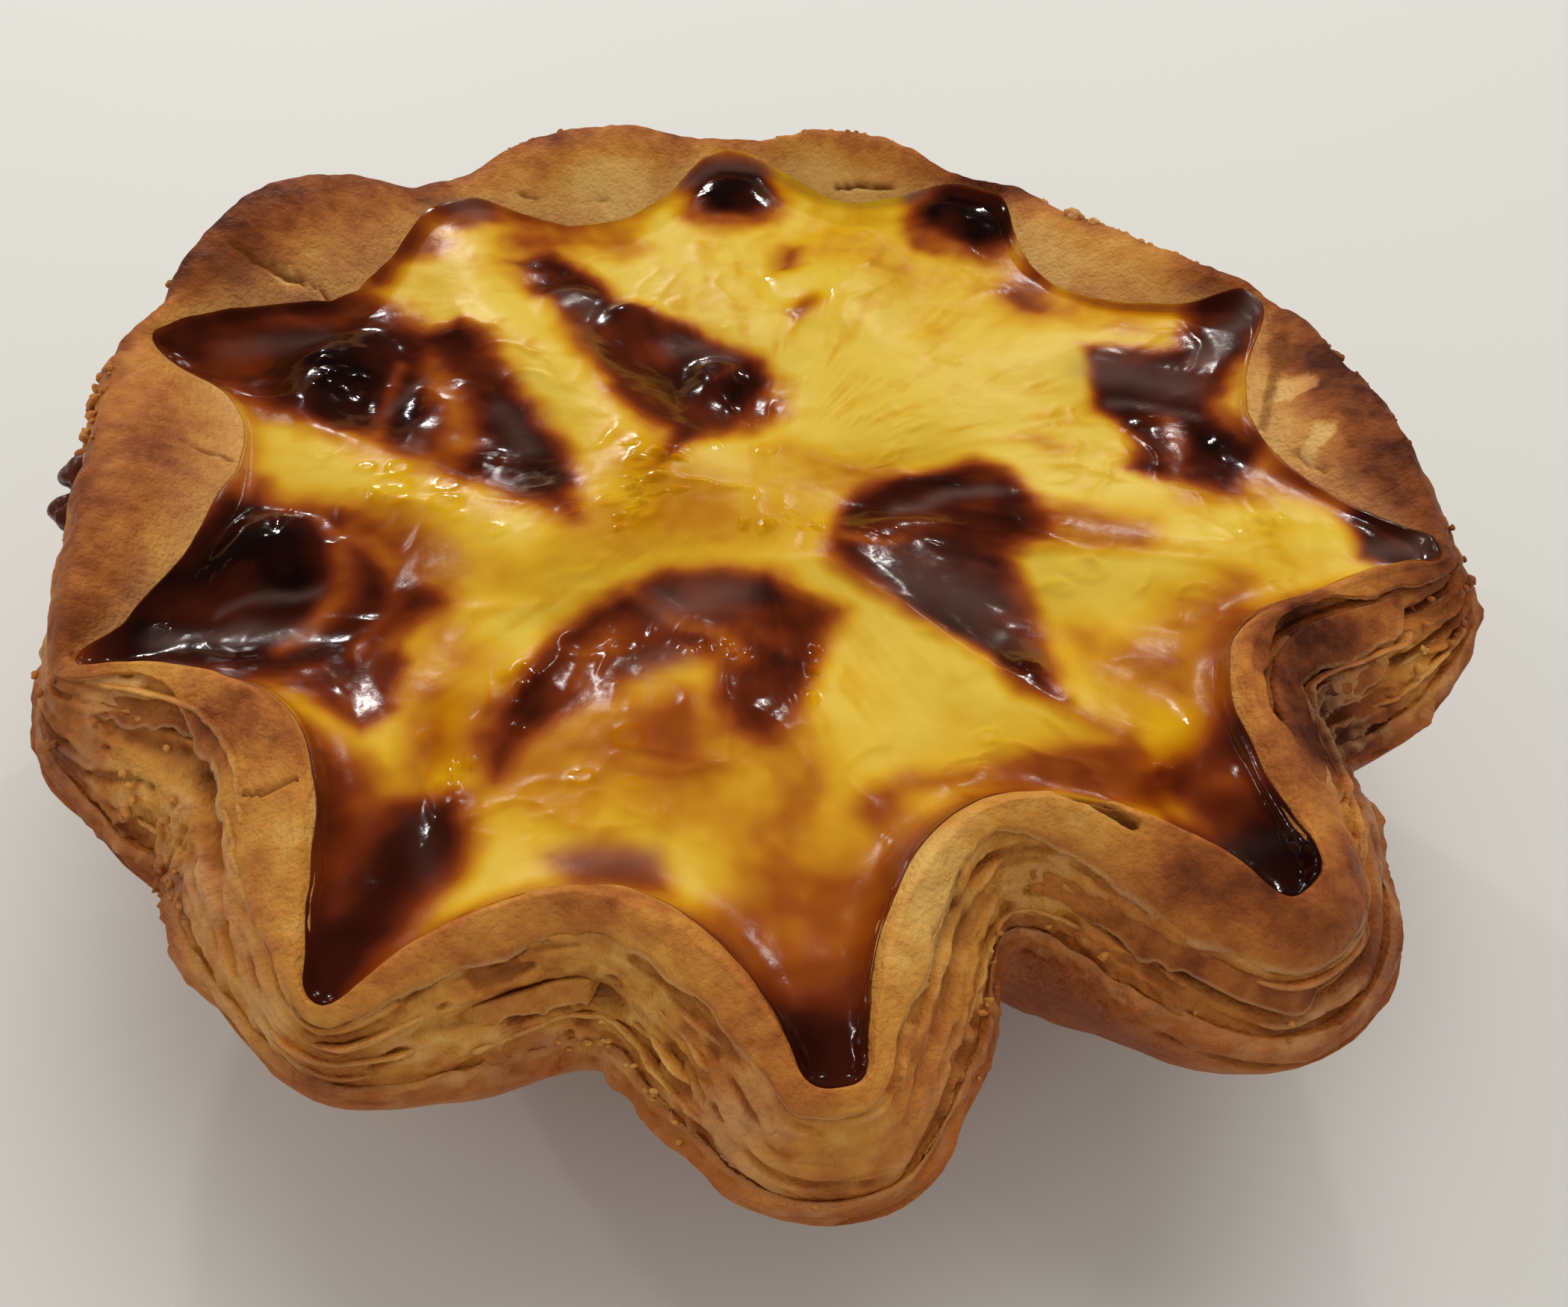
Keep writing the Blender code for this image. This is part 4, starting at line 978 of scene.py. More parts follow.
# From the custard up over the crest to its torn edge, and back underneath.
def makeTopSheet():
    line = fineRim
    rows = Rows(line)
    faceRows, capRows = pastry["rows"]["face"], pastry["rows"]["cap"]
    backward = 0.5 + 0.5 * np.tanh(line.crest[:, 1] / 8.0)
    for i in range(faceRows + 1):
        share = i / faceRows
        row, lumps = unevenFace(line, share)
        crack = crackDepth(seenPlan(row))
        flaked = flakedShare(seenPlan(row))
        row[:, 2] -= crack * (1.0 if share < 0.96 else 0.5) + pastry["flakeDepth"] * flaked
        row[:, :2] += line.outward * (rim["lumpsOut"] * lumps)[:, None]
        toasted = pastry["backBrowner"] * backward * share**3 - 0.14 * ease(1.0 - share / 0.7) - 0.35 * flaked
        rows.add(row, 0.5 + 0.2 * ease(1.0 - share / 0.6) + 0.16 * flaked, crack, browner=toasted)
    capEnd = capEdge(line)
    for i in range(1, capRows + 1):
        share = capEnd * i / capRows
        droop = pastry["capDroop"] * ease((i / capRows - 0.7) / 0.3) ** 2
        row = line.row(*sunk(line, share, droop - topLumps(line, line.outer * share * 1.4)))
        crack = crackDepth(seenPlan(row))
        row[:, 2] -= crack
        pale = 0.3 * ease((i / capRows - 0.85) / 0.15)
        rows.add(row, 0.5 + pale, crack, browner=pastry["backBrowner"] * backward * (1.0 - i / capRows))
    lip = 0.3 + 0.16 * unevenness(line.flow(50.0), 2.5, 58.0)
    for depth in (0.08, 0.2, 0.45):
        rows.add(line.row(*sunk(line, capEnd - 0.01, lip + depth)), 0.9 - depth)
    for i in range(capRows - 4, 0, -4):
        rows.add(line.row(*sunk(line, capEnd * i / capRows, pastry["topThickness"])))
    for share in (0.9, 0.5, 0.0):
        out, up = line.innerFace(share)
        rows.add(line.row(out + 0.45, up - pastry["topThickness"]))
    rows.add(line.row(0.3 - line.inner, line.rise - 2.6))
    rows.add(line.row(0.05 - line.inner, line.rise - 1.2))
    return rows.skin("topSheet")


# Fused pastry layers: broken ridges along the fold, long pits between them and crumbs all over.
def layerRelief(line, share):
    across = 1.08 * np.hypot(line.outer, line.height - line.lip) * share

    def noise(squeeze, shift, size, seed):
        return unevenness(line.flow(across * squeeze, shift), size, seed)

    warp = noise(0.5, 5.0, 6.0, 81.0) + 0.45 * noise(1.0, 6.0, 2.2, 82.0) + 0.16 * noise(1.0, 7.0, 0.8, 89.0)
    phase = pastry["sheets"] * share + warp
    sheet = np.floor(phase)
    reach = 0.3 + layered(line.flow(sheet * 7.3, 100.0), pastry["reachNoise"])
    relief = pastry["ridge"] * np.clip(reach, -0.5, 1.1) * (1.0 - np.abs(2.0 * (phase - sheet) - 1.0) ** 2.0)
    relief += pastry["swell"] * noise(0.8, 20.0, 4.0, 90.0)
    openness = 0.16 * noise(0.6, 500.0, 7.0, 91.0)
    hole = noise(4.2, 300.0, 3.0, 85.0) + 0.4 * noise(2.0, 340.0, 0.8, 86.0)
    hole = ease((hole + openness - 0.22) / 0.2)
    small = noise(2.4, 360.0, 1.2, 92.0) + 0.3 * noise(1.0, 380.0, 0.4, 93.0)
    small = ease((small + openness - 0.36) / 0.2)
    relief -= pastry["pit"] * hole + pastry["smallPit"] * small * (1.0 - hole)
    crumbs = 0.11 * noise(1.0, 8.0, 0.75, 87.0) + 0.07 * noise(1.0, 9.0, 0.42, 88.0)
    return relief + crumbs, np.maximum(hole, 0.6 * small)


# The face of the fused layers between the top and the bottom sheet, tucked in at both ends.
def makeLayers():
    line = RimLine(pastry["layerStations"])
    rows = Rows(line)
    start = capEdge(line) - 0.07
    end = lastEdge(line) + 0.06
    count = pastry["rows"]["layers"]
    for i in range(count):
        share = start + (end - start) * i / (count - 1)
        relief, hole = layerRelief(line, share)
        cleft = cleftAt(line, share, rim["clefts"])
        gap = cleftAt(line, share, pastry["gaps"])
        tucked = 0.4 * (1.0 - ease(i / 4)) + 0.3 * (1.0 - ease((count - 1 - i) / 4))
        row = line.row(*sunk(line, share, pastry["recess"] - relief + 0.75 * cleft + gap + tucked))
        # Painted highlight on raised ridges and painted shade in pits, clefts and gaps, over a random tone.
        shade = pastry["usualShade"] + 0.6 * relief + layered(row, pastry["shadeNoise"])
        shade -= pastry["cleftShade"] * cleft + pastry["gapShade"] * gap
        # Pits deep in clefts darken like cracks: painted shade.
        crack = 0.1 * hole * ease(cleft)
        rows.add(row, np.clip(shade, 0.0, 1.0), crack, browner=0.2 * ease((i / count - 0.6) / 0.4))
    for part, depth in ((1.0, 2.6), (0.5, 3.0), (0.0, 2.4)):
        rows.add(line.row(*sunk(line, start + (end - start) * part, depth)))
    return rows.skin("pastryLayers")


# From under the base up the outside to the bottom sheet's edge, and down inside to the floor.
def makeCup():
    line = coarseRim
    rows = Rows(line)
    wallRows, lastRows = pastry["rows"]["wall"], pastry["rows"]["last"]
    base = line.ring(rim["baseRadius"])
    bottom = np.column_stack([base, np.zeros(line.count)])
    rows.add(pole(bottom, 0.0), wall=1.0)
    for share in (0.4, 0.8, 1.0):
        rows.add(bottom * (share, share, 1.0), wall=1.0)
    for grown, level in ((0.65, 0.25), (0.8, 0.8)):
        plan = base * (1.0 + grown / rim["baseRadius"])
        rows.add(np.column_stack([plan, np.full(line.count, level)]), wall=1.0)
    lipRow = line.row(*line.outerFace(1.0))
    for i in range(wallRows - 1, -1, -1):
        share = i / wallRows * pastry["wallShare"]
        plan = lipRow[:, :2] + (base - lipRow[:, :2]) * share ** rim["outerBelly"]
        row = np.column_stack([plan, lipRow[:, 2] * (1.0 - share)])
        drawn = row * (1.0, 1.0, 0.35)
        bump = layered(row, pastry["wallNoise"]) + 0.2 * unevenness(drawn, 1.8, 62.0)
        row[:, :2] += line.outward * (bump * arch(0.12 + share * 0.8))[:, None]
        rows.add(row, wall=1.0, browner=0.1)
    last = lastEdge(line)
    for i in range(1, lastRows + 1):
        part = i / lastRows
        bump = layered(line.flow(20.0 - i * 0.2), pastry["lastBumps"])
        droop = pastry["lastDroop"] * ease((part - 0.75) / 0.25)
        row = line.row(*sunk(line, 1.0 + (last - 1.0) * part, droop - bump - 0.02))
        pale = 0.14 * ease((part - 0.6) / 0.4) + 0.2 * ease((unevenness(row, 0.6, 94.0) - 0.3) / 0.3)
        rows.add(row, 0.5 + pale, wall=1.0 - 0.6 * ease(part), browner=0.12)
    # Rows tucked under the bottom sheet's edge are darkened: painted shade.
    for depth in (0.3, 0.6, 1.6):
        rows.add(line.row(*sunk(line, last + 0.01, depth)), 0.3)
    for part in (0.7, 0.4, 0.2):
        rows.add(line.row(*sunk(line, last * part, 2.2)), 0.2)
    inside = line.crest - line.outward * (line.inner - 0.9)[:, None]
    floor = line.ring(rim["floorRadius"] + 0.4)
    for share in (0.9, 0.5, 0.0):
        plan = floor + (inside - floor) * share ** rim["innerBelly"]
        level = rim["floorThickness"] + (rim["custardEdge"] + line.rise - rim["floorThickness"]) * share
        rows.add(np.column_stack([plan, level]))
    rows.add(pole(rows.points[-1], rim["floorThickness"]))
    return rows.skin("pastryCup", tube=False)


def joined(parts, name):
    bpy.ops.object.select_all(action="DESELECT")
    for part in parts:
        part.select_set(True)
    bpy.context.view_layer.objects.active = parts[0]
    bpy.ops.object.join()
    parts[0].name = name
    parts[0].data.name = name
    bpy.ops.object.shade_smooth()
    return parts[0]


# A thin ragged sheet whose tip stands out of the face by its reach. Its root lies deep in the layers.
def leafRibbon(line, name, own, place, reach):
    thick = pastry["leafThickness"] + 0.05 * unevenness(line.flow(own, 4.0), 2.4, 77.0)
    curl = layered(line.flow(own, 5.0), pastry["leafCurl"])
    out, up = line.outerFace(place)
    rows = Rows(line)
    root = pastry["leafSection"][0][0]
    level, upright = pastry["leafLean"]
    for i, (deep, side, edge) in enumerate(pastry["leafSection"]):
        crumb = 0.06 * unevenness(line.flow(own + i * 0.4), 0.6, 79.0)
        along = np.maximum(deep + reach * ease((deep - root) / 0.9) + crumb * edge, root)
        across = side * thick + curl * ease((deep - root) / -root)
        row = line.row(out + level * along - upright * across, up + upright * along + level * across)
        # Paler towards the tip, with painted shade towards the root.
        rows.add(row, 0.2 + 0.44 * edge)
    return rows.skin(name)


# Leaves that come out of the fused layers in stretches, and single curled sheets.
def makeLeaves():
    line = fineRim
    sheets = []
    for index, middle in enumerate(pastry["leaves"]):
        own = 400.0 + index * 11.0
        place = middle + 0.035 * unevenness(line.flow(own), 8.0, 72.0)
        present = ease((unevenness(line.flow(own), 4.5, 73.0) - 0.14) / 0.3)
        reach = -0.75 + present * (0.7 + 0.22 * unevenness(line.flow(own), 1.5, 74.0))
        reach += present * 0.12 * unevenness(line.flow(own), 0.5, 75.0)
        reach -= 0.5 * cleftAt(line, place, rim["clefts"])
        sheets.append(leafRibbon(line, f"pastryLeaf{index}", own, place, reach))
    for index, (first, last, start, end, standing) in enumerate(pastry["curled"]):
        own = 600.0 + index * 11.0
        phase = partWay(line.angle, first, last)
        shown = ease(4.0 * arch(phase))
        place = start + (end - start) * phase + 0.012 * unevenness(line.flow(own), 3.0, 72.0)
        place += (0.5 - place) * (1.0 - ease(2.0 * shown))
        ragged = layered(line.flow(own), pastry["curledNoise"])
        reach = -1.1 + (1.1 + standing + ragged) * shown
        sheets.append(leafRibbon(line, f"curledSheet{index}", own, place, reach))
    return joined(sheets, "pastryLeaves")


# Each torn sheet is a ring that shows between its two bearings. Elsewhere it is tucked away and coarser.
def makeTornSheets():
    sheets = []
    tornRows = pastry["rows"]["torn"]
    for index, (first, last, start, end, depth, browner) in enumerate(pastry["torn"]):
        own = 800.0 + index * 13.0
        inPart = np.mod(fineRim.angle - first, 360.0) < last - first
        line = fineRim.picked(np.flatnonzero(inPart | (np.arange(fineRim.count) % 8 == 0)))
        rise = arch(partWay(line.angle, first, last))
        shown = ease(2.6 * rise + 0.25 * unevenness(line.flow(own), 1.2, 45.0) * rise)
        low = start + 0.02 * unevenness(line.flow(own, 1.0), 3.0, 46.0)
        high = start + (end - start) * shown + layered(line.flow(own, 2.0), pastry["tornNoise"])
        tuckedAway = 1.0 - ease(3.0 * shown)
        low, high = low + (0.5 - low) * tuckedAway, high + (0.54 - high) * tuckedAway
        level = depth + (pastry["tuckedDepth"] - depth) * (1.0 - shown)
        rows = Rows(line)
        for i in range(tornRows + 1):
            part = i / tornRows
            share = low + (high - low) * part
            lumps = 0.2 * unevenness(line.flow(own + share * 6.0, 3.0), 2.6, 35.0)
            lumps += 0.08 * unevenness(line.flow(own + share * 7.0, 4.0), 0.9, 36.0)
            curl = 0.3 * ease((part - 0.6) / 0.4) * unevenness(line.flow(own, 6.0), 3.0, 37.0)
            row = line.row(*sunk(line, share, level - (lumps + curl) * shown))
            rows.add(row, 0.5 + 0.25 * ease((part - 0.85) / 0.15), browner=browner)
        for i in range(tornRows, -1, -2):
            share = low + (high - low) * i / tornRows - (0.012 if i == tornRows else 0.0)
            under = level + pastry["tornThickness"] + 0.3 * (1.0 - i / tornRows)
            # The underside is a little darker: painted shade.
            rows.add(line.row(*sunk(line, share, under)), 0.4)
        sheets.append(rows.skin(f"tornSheet{index}"))
    return joined(sheets, "tornSheets")


# What sticks to the pastry. Places are shares of the outer face.
scraps = {
    # crumbs: bearing, place on the face, number, spread of the bearing, spread of the place, size
    "crumbs": [
        (50.0, 0.06, 30, 14.0, 0.1, 0.2), (82.0, 0.05, 10, 8.0, 0.1, 0.16),
        (115.0, 0.08, 8, 10.0, 0.1, 0.16), (15.0, 0.15, 16, 12.0, 0.15, 0.18),
        (180.0, 0.3, 16, 16.0, 0.3, 0.2), (212.0, 0.5, 14, 8.0, 0.3, 0.18),
        (232.0, 0.8, 14, 10.0, 0.1, 0.12), (262.0, 0.82, 14, 12.0, 0.1, 0.11),
        (282.0, 0.85, 22, 10.0, 0.15, 0.12), (305.0, 0.8, 10, 10.0, 0.15, 0.12),
        (352.0, 0.5, 16, 6.0, 0.3, 0.2), (176.0, 0.25, 14, 8.0, 0.2, 0.28),
    ],
    # the burnt drip and the sugar drops: bearing, place on the face, size, length against width
    "drip": [(184.5, 0.4, 0.8, 1.6), (187.0, 0.55, 0.9, 1.5), (189.0, 0.5, 0.7, 1.3),
             (186.0, 0.8, 0.55, 1.3)],
    "sugarDrops": [(53.5, -0.02, 0.42, 1.6), (51.0, 0.0, 0.32, 1.2), (57.5, 0.02, 0.28, 1.0)],
    "lumpNoise": [(0.5, 0.8, 95.0), (0.12, 0.4, 96.0)],  # amount, size, seed
    "burntSyrup": ((88, 38, 20), 0.38, 0.1),  # colour, roughness, clearness
    "clearSugar": ((214, 158, 96), 0.12, 0.3),
}


def lumpAt(line, name, bearing, place, size, stretch, seed):
    station = int(np.argmin(np.abs(turnFrom(line.angle, bearing))))
    out, up = line.outerFace(np.full(line.count, place))
    middle = line.row(out - 0.1 * size, up - 0.05 * size)[station]
    bpy.ops.mesh.primitive_ico_sphere_add(subdivisions=2 if size < 0.3 else 4, radius=1.0)
    lump = bpy.context.object
    lump.name = name
    points = np.array([vertex.co for vertex in lump.data.vertices])
    points = points * (1.0 + layered(points + seed, scraps["lumpNoise"]))[:, None] * size
    tilt = math.radians(line.angle[station])
    along = np.array([-math.sin(tilt), math.cos(tilt), 0.0])
    points += (points @ along)[:, None] * along * (stretch - 1.0)
    points += middle
    lump.data.vertices.foreach_set("co", ((points + shiftToFrame) * 0.001).ravel())
    return lump, points


# The crumbs, the burnt drip and the sugar drops.
def makeScraps():
    draw = np.random.default_rng(31)
    line = coarseRim
    crumbs = []
    for bearing, place, number, spreadAngle, spreadPlace, size in scraps["crumbs"]:
        for _ in range(number):
            at = np.clip(place + draw.normal() * spreadPlace * 0.5, -0.05, 0.95)
            own = size * draw.uniform(0.5, 1.15)
            turned = bearing + draw.normal() * spreadAngle * 0.5
            stretch, seed = draw.uniform(1.0, 1.9), draw.uniform(0.0, 90.0)
            lump, points = lumpAt(line, "crumb", turned, at, own, stretch, seed)
            toast = toastAmount(points) + draw.uniform(-0.1, 0.15)
            given = {"toast": toast, "paleEdgeAndPaintedLight": np.full(len(points), 0.54)}
            for key, value in given.items():
                lump.data.attributes.new(key, "FLOAT", "POINT").data.foreach_set("value", value)
            crumbs.append(lump)
    drips = [lumpAt(line, "drip", *spot, 7.0 + index)[0] for index, spot in enumerate(scraps["drip"])]
    drops = [lumpAt(line, "drop", *spot, 3.0 + index)[0] for index, spot in enumerate(scraps["sugarDrops"])]
    return joined(crumbs, "pastryCrumbs"), joined(drips, "burntDrip"), joined(drops, "sugarDrops")


topSheet = makeTopSheet()
layers = makeLayers()
cup = makeCup()
leaves = makeLeaves()
tornSheets = makeTornSheets()
crumbs, drip, drops = makeScraps()
pastryPieces = (topSheet, layers, cup, leaves, tornSheets, crumbs)
print("pastry laid,", sum(len(piece.data.polygons) for piece in pastryPieces), "faces")


# A shader colour from one as read off a screen, 0 to 255.
def screenColour(red, green, blue):
    def straight(value):
        value /= 255.0
        return value / 12.92 if value <= 0.04045 else ((value + 0.055) / 1.055) ** 2.4
    return (straight(red), straight(green), straight(blue), 1.0)


# Gives a node its input values. A value that is another node's output is linked in.
def fillInputs(tree, node, inputs):
    for slot, value in inputs.items():
        if isinstance(value, bpy.types.NodeSocket):
            tree.links.new(value, node.inputs[slot])
        else:
            node.inputs[slot].default_value = value
    return node


def addNode(tree, kind, inputs):
    return fillInputs(tree, tree.nodes.new(kind), inputs)


def addRamp(tree, level, stops):
    ramp = addNode(tree, "ShaderNodeValToRGB", {"Fac": level})
    while len(ramp.color_ramp.elements) < len(stops):
        ramp.color_ramp.elements.new(0.5)
    for element, (place, colour) in zip(ramp.color_ramp.elements, stops):
        element.position = place
        element.color = screenColour(*colour)
    return ramp.outputs["Color"]


def addMath(tree, operation, *values):
    node = tree.nodes.new("ShaderNodeMath")
    node.operation = operation
    return fillInputs(tree, node, dict(enumerate(values))).outputs[0]


def addNoise(tree, **inputs):
    place = tree.nodes.new("ShaderNodeTexCoord").outputs["Object"]
    return addNode(tree, "ShaderNodeTexNoise", {"Vector": place, **inputs}).outputs["Fac"]


def addMix(tree, factor, colour, colourInto):
    node = tree.nodes.new("ShaderNodeMix")
    node.data_type = "RGBA"
    tree.links.new(factor, node.inputs["Factor"])
    tree.links.new(colour, node.inputs["A"])
    node.inputs["B"].default_value = screenColour(*colourInto)
    return node.outputs["Result"]


def addBump(tree, strength, distance, height):
    inputs = {"Strength": strength, "Distance": distance, "Height": height}
    return addNode(tree, "ShaderNodeBump", inputs).outputs["Normal"]


def readAttribute(tree, name):
    node = tree.nodes.new("ShaderNodeAttribute")
    node.attribute_name = name
    return node.outputs["Fac"]


def startMaterial(name):
    material = bpy.data.materials.new(name)
    material.use_nodes = True
    return material, material.node_tree


def setShader(tree, inputs):
    fillInputs(tree, tree.nodes["Principled BSDF"], inputs)


# Shared effect: fine crumb, giving a shade and a height.
def crumbGroup():
    group = bpy.data.node_groups.new("bakedCrumb", "ShaderNodeTree")
    group.interface.new_socket("Scale", in_out="INPUT", socket_type="NodeSocketFloat")
    group.interface.new_socket("Shade", in_out="OUTPUT", socket_type="NodeSocketFloat")
    group.interface.new_socket("Height", in_out="OUTPUT", socket_type="NodeSocketFloat")
    scale = group.nodes.new("NodeGroupInput").outputs["Scale"]
    coarse = addNoise(group, Scale=scale, Detail=4.0, Roughness=0.6)
    fine = addNoise(group, Scale=addMath(group, "MULTIPLY", scale, 3.2), Detail=3.0)
    height = addMath(group, "MULTIPLY_ADD", fine, 0.7, coarse)
    addNode(group, "NodeGroupOutput", {"Shade": coarse, "Height": height})
    return group


bakedCrumb = crumbGroup()

pastryLook = {
    "toastColours": [(0.0, (230, 180, 96)), (0.3, (210, 143, 58)), (0.5, (188, 113, 46)),
                     (0.72, (146, 76, 30)), (1.0, (82, 34, 14))],
    # colours mixed in, with their share: pale edges and painted highlight on ridges, brown grooves and
    # painted shade in recesses and under sheets, the wall's own tint, and cracks with painted shade
    "paleEdgeAndPaintedHighlight": ((236, 194, 138), 0.6),
    "grooveBrownAndPaintedShade": ((146, 80, 32), 0.78),
    "wallTint": ((158, 80, 36), 0.55),
    "crackBrownAndPaintedShade": ((134, 76, 22), 0.8),
    "roughness": 0.48,
    "specular": 0.18,
    "subsurface": (0.12, (1.0, 0.5, 0.2), 0.0012),  # weight, radius, scale in metres
    "crumbScale": 1300.0,
    "crumbShade": 0.38,
    "bump": (1.0, 0.00024),  # strength, distance in metres
}


def pastryMaterial():
    material, tree = startMaterial("bakedPastry")
    crumb = tree.nodes.new("ShaderNodeGroup")
    crumb.node_tree = bakedCrumb
    crumb.inputs["Scale"].default_value = pastryLook["crumbScale"]
    shade = pastryLook["crumbShade"]
    shifted = addMath(tree, "MULTIPLY_ADD", crumb.outputs["Shade"], shade, -0.5 * shade)
    level = addMath(tree, "ADD", readAttribute(tree, "toast"), shifted)
    rough = addMath(tree, "MULTIPLY_ADD", crumb.outputs["Shade"], 0.3, pastryLook["roughness"] - 0.1)
    # Paleness of edges with painted highlight, and painted shade in grooves, clefts and under sheets.
    edge = readAttribute(tree, "paleEdgeAndPaintedLight")
    groove = addNode(tree, "ShaderNodeMapRange", {"Value": edge, "From Min": 0.45, "From Max": 0.0})
    factors = {
        "paleEdgeAndPaintedHighlight": addMath(tree, "MULTIPLY_ADD", edge, 2.0, -1.0),
        "grooveBrownAndPaintedShade": groove.outputs["Result"],
        "wallTint": readAttribute(tree, "wall"),
        # Cracks darken with their depth: the inside's own colour with painted shade.
        "crackBrownAndPaintedShade": addMath(tree, "MULTIPLY", readAttribute(tree, "crack"), 3.5),
    }
    colour = addRamp(tree, level, pastryLook["toastColours"])
    for name, factor in factors.items():
        colourInto, share = pastryLook[name]
        colour = addMix(tree, addMath(tree, "MULTIPLY", factor, share), colour, colourInto)
    weight, radius, scale = pastryLook["subsurface"]
    setShader(tree, {
        "Base Color": colour,
        "Roughness": rough,
        "Normal": addBump(tree, *pastryLook["bump"], crumb.outputs["Height"]),
        "Subsurface Weight": weight,
        "Subsurface Radius": radius,
        "Subsurface Scale": scale,
        "Specular IOR Level": pastryLook["specular"],
    })
    return material


def glazeMaterial(name):
    colour, roughness, clearness = scraps[name]
    material, tree = startMaterial(name)
    setShader(tree, {
        "Base Color": screenColour(*colour),
        "Roughness": roughness,
        "Subsurface Weight": clearness,
        "Subsurface Radius": (1.0, 0.5, 0.2),
        "Subsurface Scale": 0.001,
    })
    return material


custardLook = {
    "colours": [(0.0, (233, 197, 68)), (0.12, (224, 173, 22)), (0.28, (203, 134, 5)), (0.46, (164, 80, 5)),
                (0.64, (116, 43, 8)), (0.82, (66, 21, 7)), (1.0, (22, 7, 5))],
    # greyish tint of the painted sheen, which stands in for reflections of the room
    "paintedSheen": (118, 90, 80),
    "roughness": (0.42, 0.1),  # yellow skin, scorched skin
    # roughness added where the painted sheen lies
    "paintedSheenRoughness": 0.28,
    "specular": 0.3,
    "subsurface": (0.25, (1.0, 0.55, 0.15), 0.0012),
    "bump": (0.22, 0.00012),
}


def custardMaterial():
    material, tree = startMaterial("bakedCustard")
    noise = addNoise(tree, Scale=420.0, Detail=5.0)
    burn, paintedSheen = readAttribute(tree, "burn"), readAttribute(tree, "paintedSheen")
    level = addMath(tree, "ADD", burn, addMath(tree, "MULTIPLY_ADD", noise, 0.13, -0.065))
    plain, glossy = custardLook["roughness"]
    wetter = addMath(tree, "MAXIMUM", burn, readAttribute(tree, "wet"))
    rough = addMath(tree, "MULTIPLY_ADD", wetter, glossy - plain, plain - 0.05)
    rough = addMath(tree, "MULTIPLY_ADD", noise, 0.08, rough)
    weight, radius, scale = custardLook["subsurface"]
    setShader(tree, {
        # The painted sheen tints the colour grey in place of reflections, and makes those places rougher.
        "Base Color": addMix(tree, paintedSheen, addRamp(tree, level, custardLook["colours"]), custardLook["paintedSheen"]),
        "Roughness": addMath(tree, "MULTIPLY_ADD", paintedSheen, custardLook["paintedSheenRoughness"], rough),
        "Normal": addBump(tree, *custardLook["bump"], addNoise(tree, Scale=1300.0, Detail=3.0)),
        "Subsurface Weight": weight,
        "Subsurface Radius": radius,
        "Subsurface Scale": scale,
        "Specular IOR Level": custardLook["specular"],
    })
    return material


pastryFinish = pastryMaterial()
for piece in pastryPieces:
    piece.data.materials.append(pastryFinish)
custard.data.materials.append(custardMaterial())
drip.data.materials.append(glazeMaterial("burntSyrup"))
drops.data.materials.append(glazeMaterial("clearSugar"))
print("finishes made")

# Floor, light and camera.
stage = {
    "floorColour": (225, 223, 217),
    "worldColour": (232, 231, 228),
    "worldStrength": 0.68,
    "worldInGloss": 0.03,  # how bright the surroundings are in shiny places
    # name, bearing and height in degrees, distance and size in metres, power in watts, colour
    "lights": [
        ("roomLight", 80.0, 66.0, 0.9, 0.7, 2.9, (1.0, 0.99, 0.97)),
        ("windowLight", 114.0, 27.0, 0.6, 0.024, 0.42, (1.0, 0.99, 0.97)),
        ("lampLight", 72.0, 33.0, 0.6, 0.02, 0.26, (1.0, 0.98, 0.94)),
        ("sideLight", 158.0, 32.0, 0.6, 0.02, 0.22, (1.0, 0.98, 0.95)),
    ],
    "cameraTilt": 44.25,
    "cameraRoll": 2.65,
    "lens": 31.27,
}


# Turns a light to face a place.
def aimed(thing, target):
    away = np.array(target) - np.array(thing.location)
    flatAway = math.hypot(away[0], away[1])
    thing.rotation_euler = (math.atan2(flatAway, -away[2]), 0.0, math.atan2(away[1], away[0]) - math.pi / 2.0)


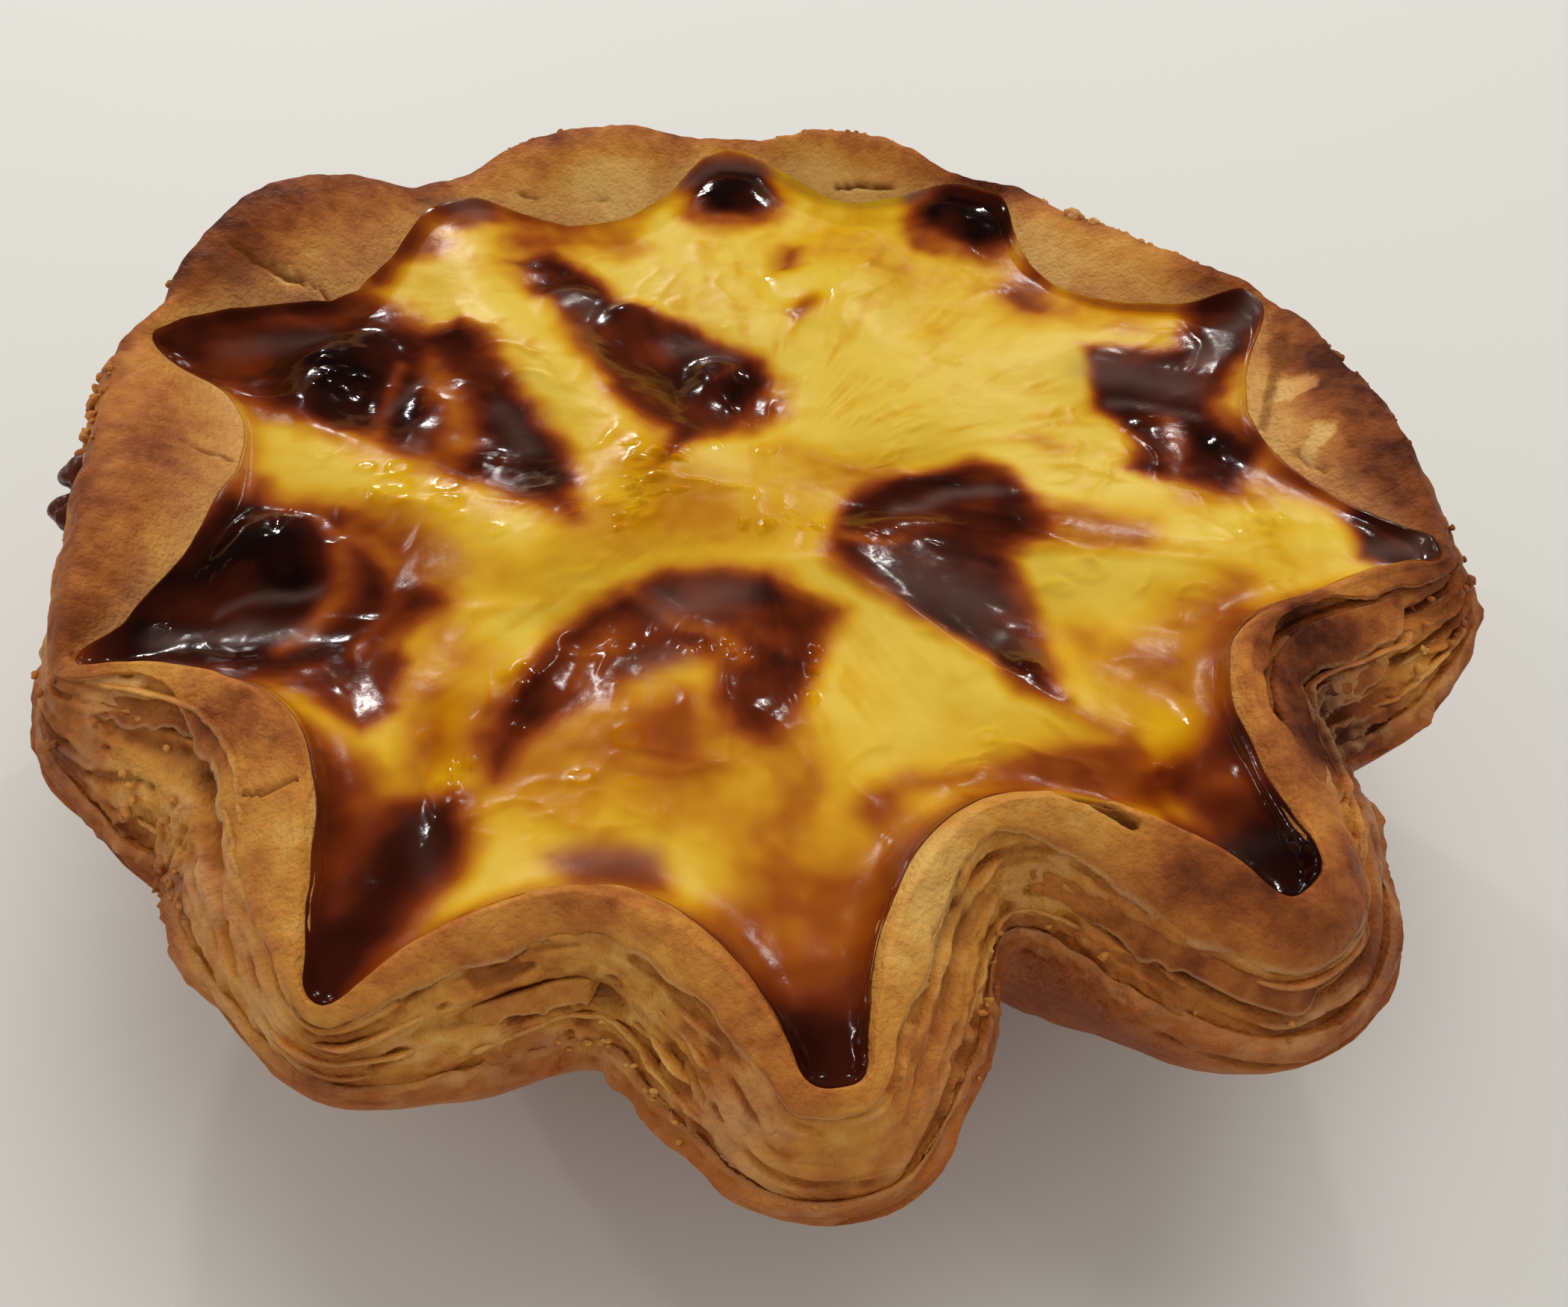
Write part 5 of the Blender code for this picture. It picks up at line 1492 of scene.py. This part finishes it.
def buildStage():
    bpy.ops.mesh.primitive_plane_add(size=4.0, location=(0.0, 0.0, -0.00005))
    floor = bpy.context.object
    floor.name = "floor"
    material, tree = startMaterial("paleFloor")
    setShader(tree, {"Base Color": screenColour(*stage["floorColour"]), "Roughness": 0.7})
    floor.data.materials.append(material)
    world = bpy.data.worlds.new("paleRoom")
    world.use_nodes = True
    tree = world.node_tree
    background = tree.nodes["Background"]
    background.inputs["Color"].default_value = screenColour(*stage["worldColour"])
    glossy = tree.nodes.new("ShaderNodeLightPath").outputs["Is Glossy Ray"]
    less = stage["worldInGloss"] - stage["worldStrength"]
    strength = addMath(tree, "MULTIPLY_ADD", glossy, less, stage["worldStrength"])
    tree.links.new(strength, background.inputs["Strength"])
    bpy.context.scene.world = world
    for name, bearing, height, distance, size, power, colour in stage["lights"]:
        data = bpy.data.lights.new(name, "AREA")
        data.shape = "DISK"
        data.size = size
        data.energy = power
        data.color = colour
        light = bpy.data.objects.new(name, data)
        light.visible_glossy = name != "roomLight"
        bpy.context.scene.collection.objects.link(light)
        bearing, height = math.radians(bearing), math.radians(height)
        level = distance * math.cos(height)
        light.location = (level * math.cos(bearing), level * math.sin(bearing), distance * math.sin(height))
        aimed(light, (0.0, 0.0, 0.02))
    data = bpy.data.cameras.new("camera")
    data.lens = stage["lens"]
    data.sensor_width = 36.0
    data.clip_start = 0.001
    camera = bpy.data.objects.new("camera", data)
    bpy.context.scene.collection.objects.link(camera)
    camera.location = (np.array(sight["eye"]) + shiftToFrame) * 0.001
    tilt, roll = math.radians(stage["cameraTilt"]), math.radians(stage["cameraRoll"])
    camera.rotation_mode = "QUATERNION"
    camera.rotation_quaternion = Quaternion((1, 0, 0), tilt) @ Quaternion((0, 0, 1), roll)
    bpy.context.scene.camera = camera
    bpy.context.scene.view_settings.view_transform = "Standard"


buildStage()
print("stage set")

for piece in pastryPieces:
    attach(piece, "root")
    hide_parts("crust")
for piece in (drip, drops):
    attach(piece, "root")
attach(custard, "root")
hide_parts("custard")
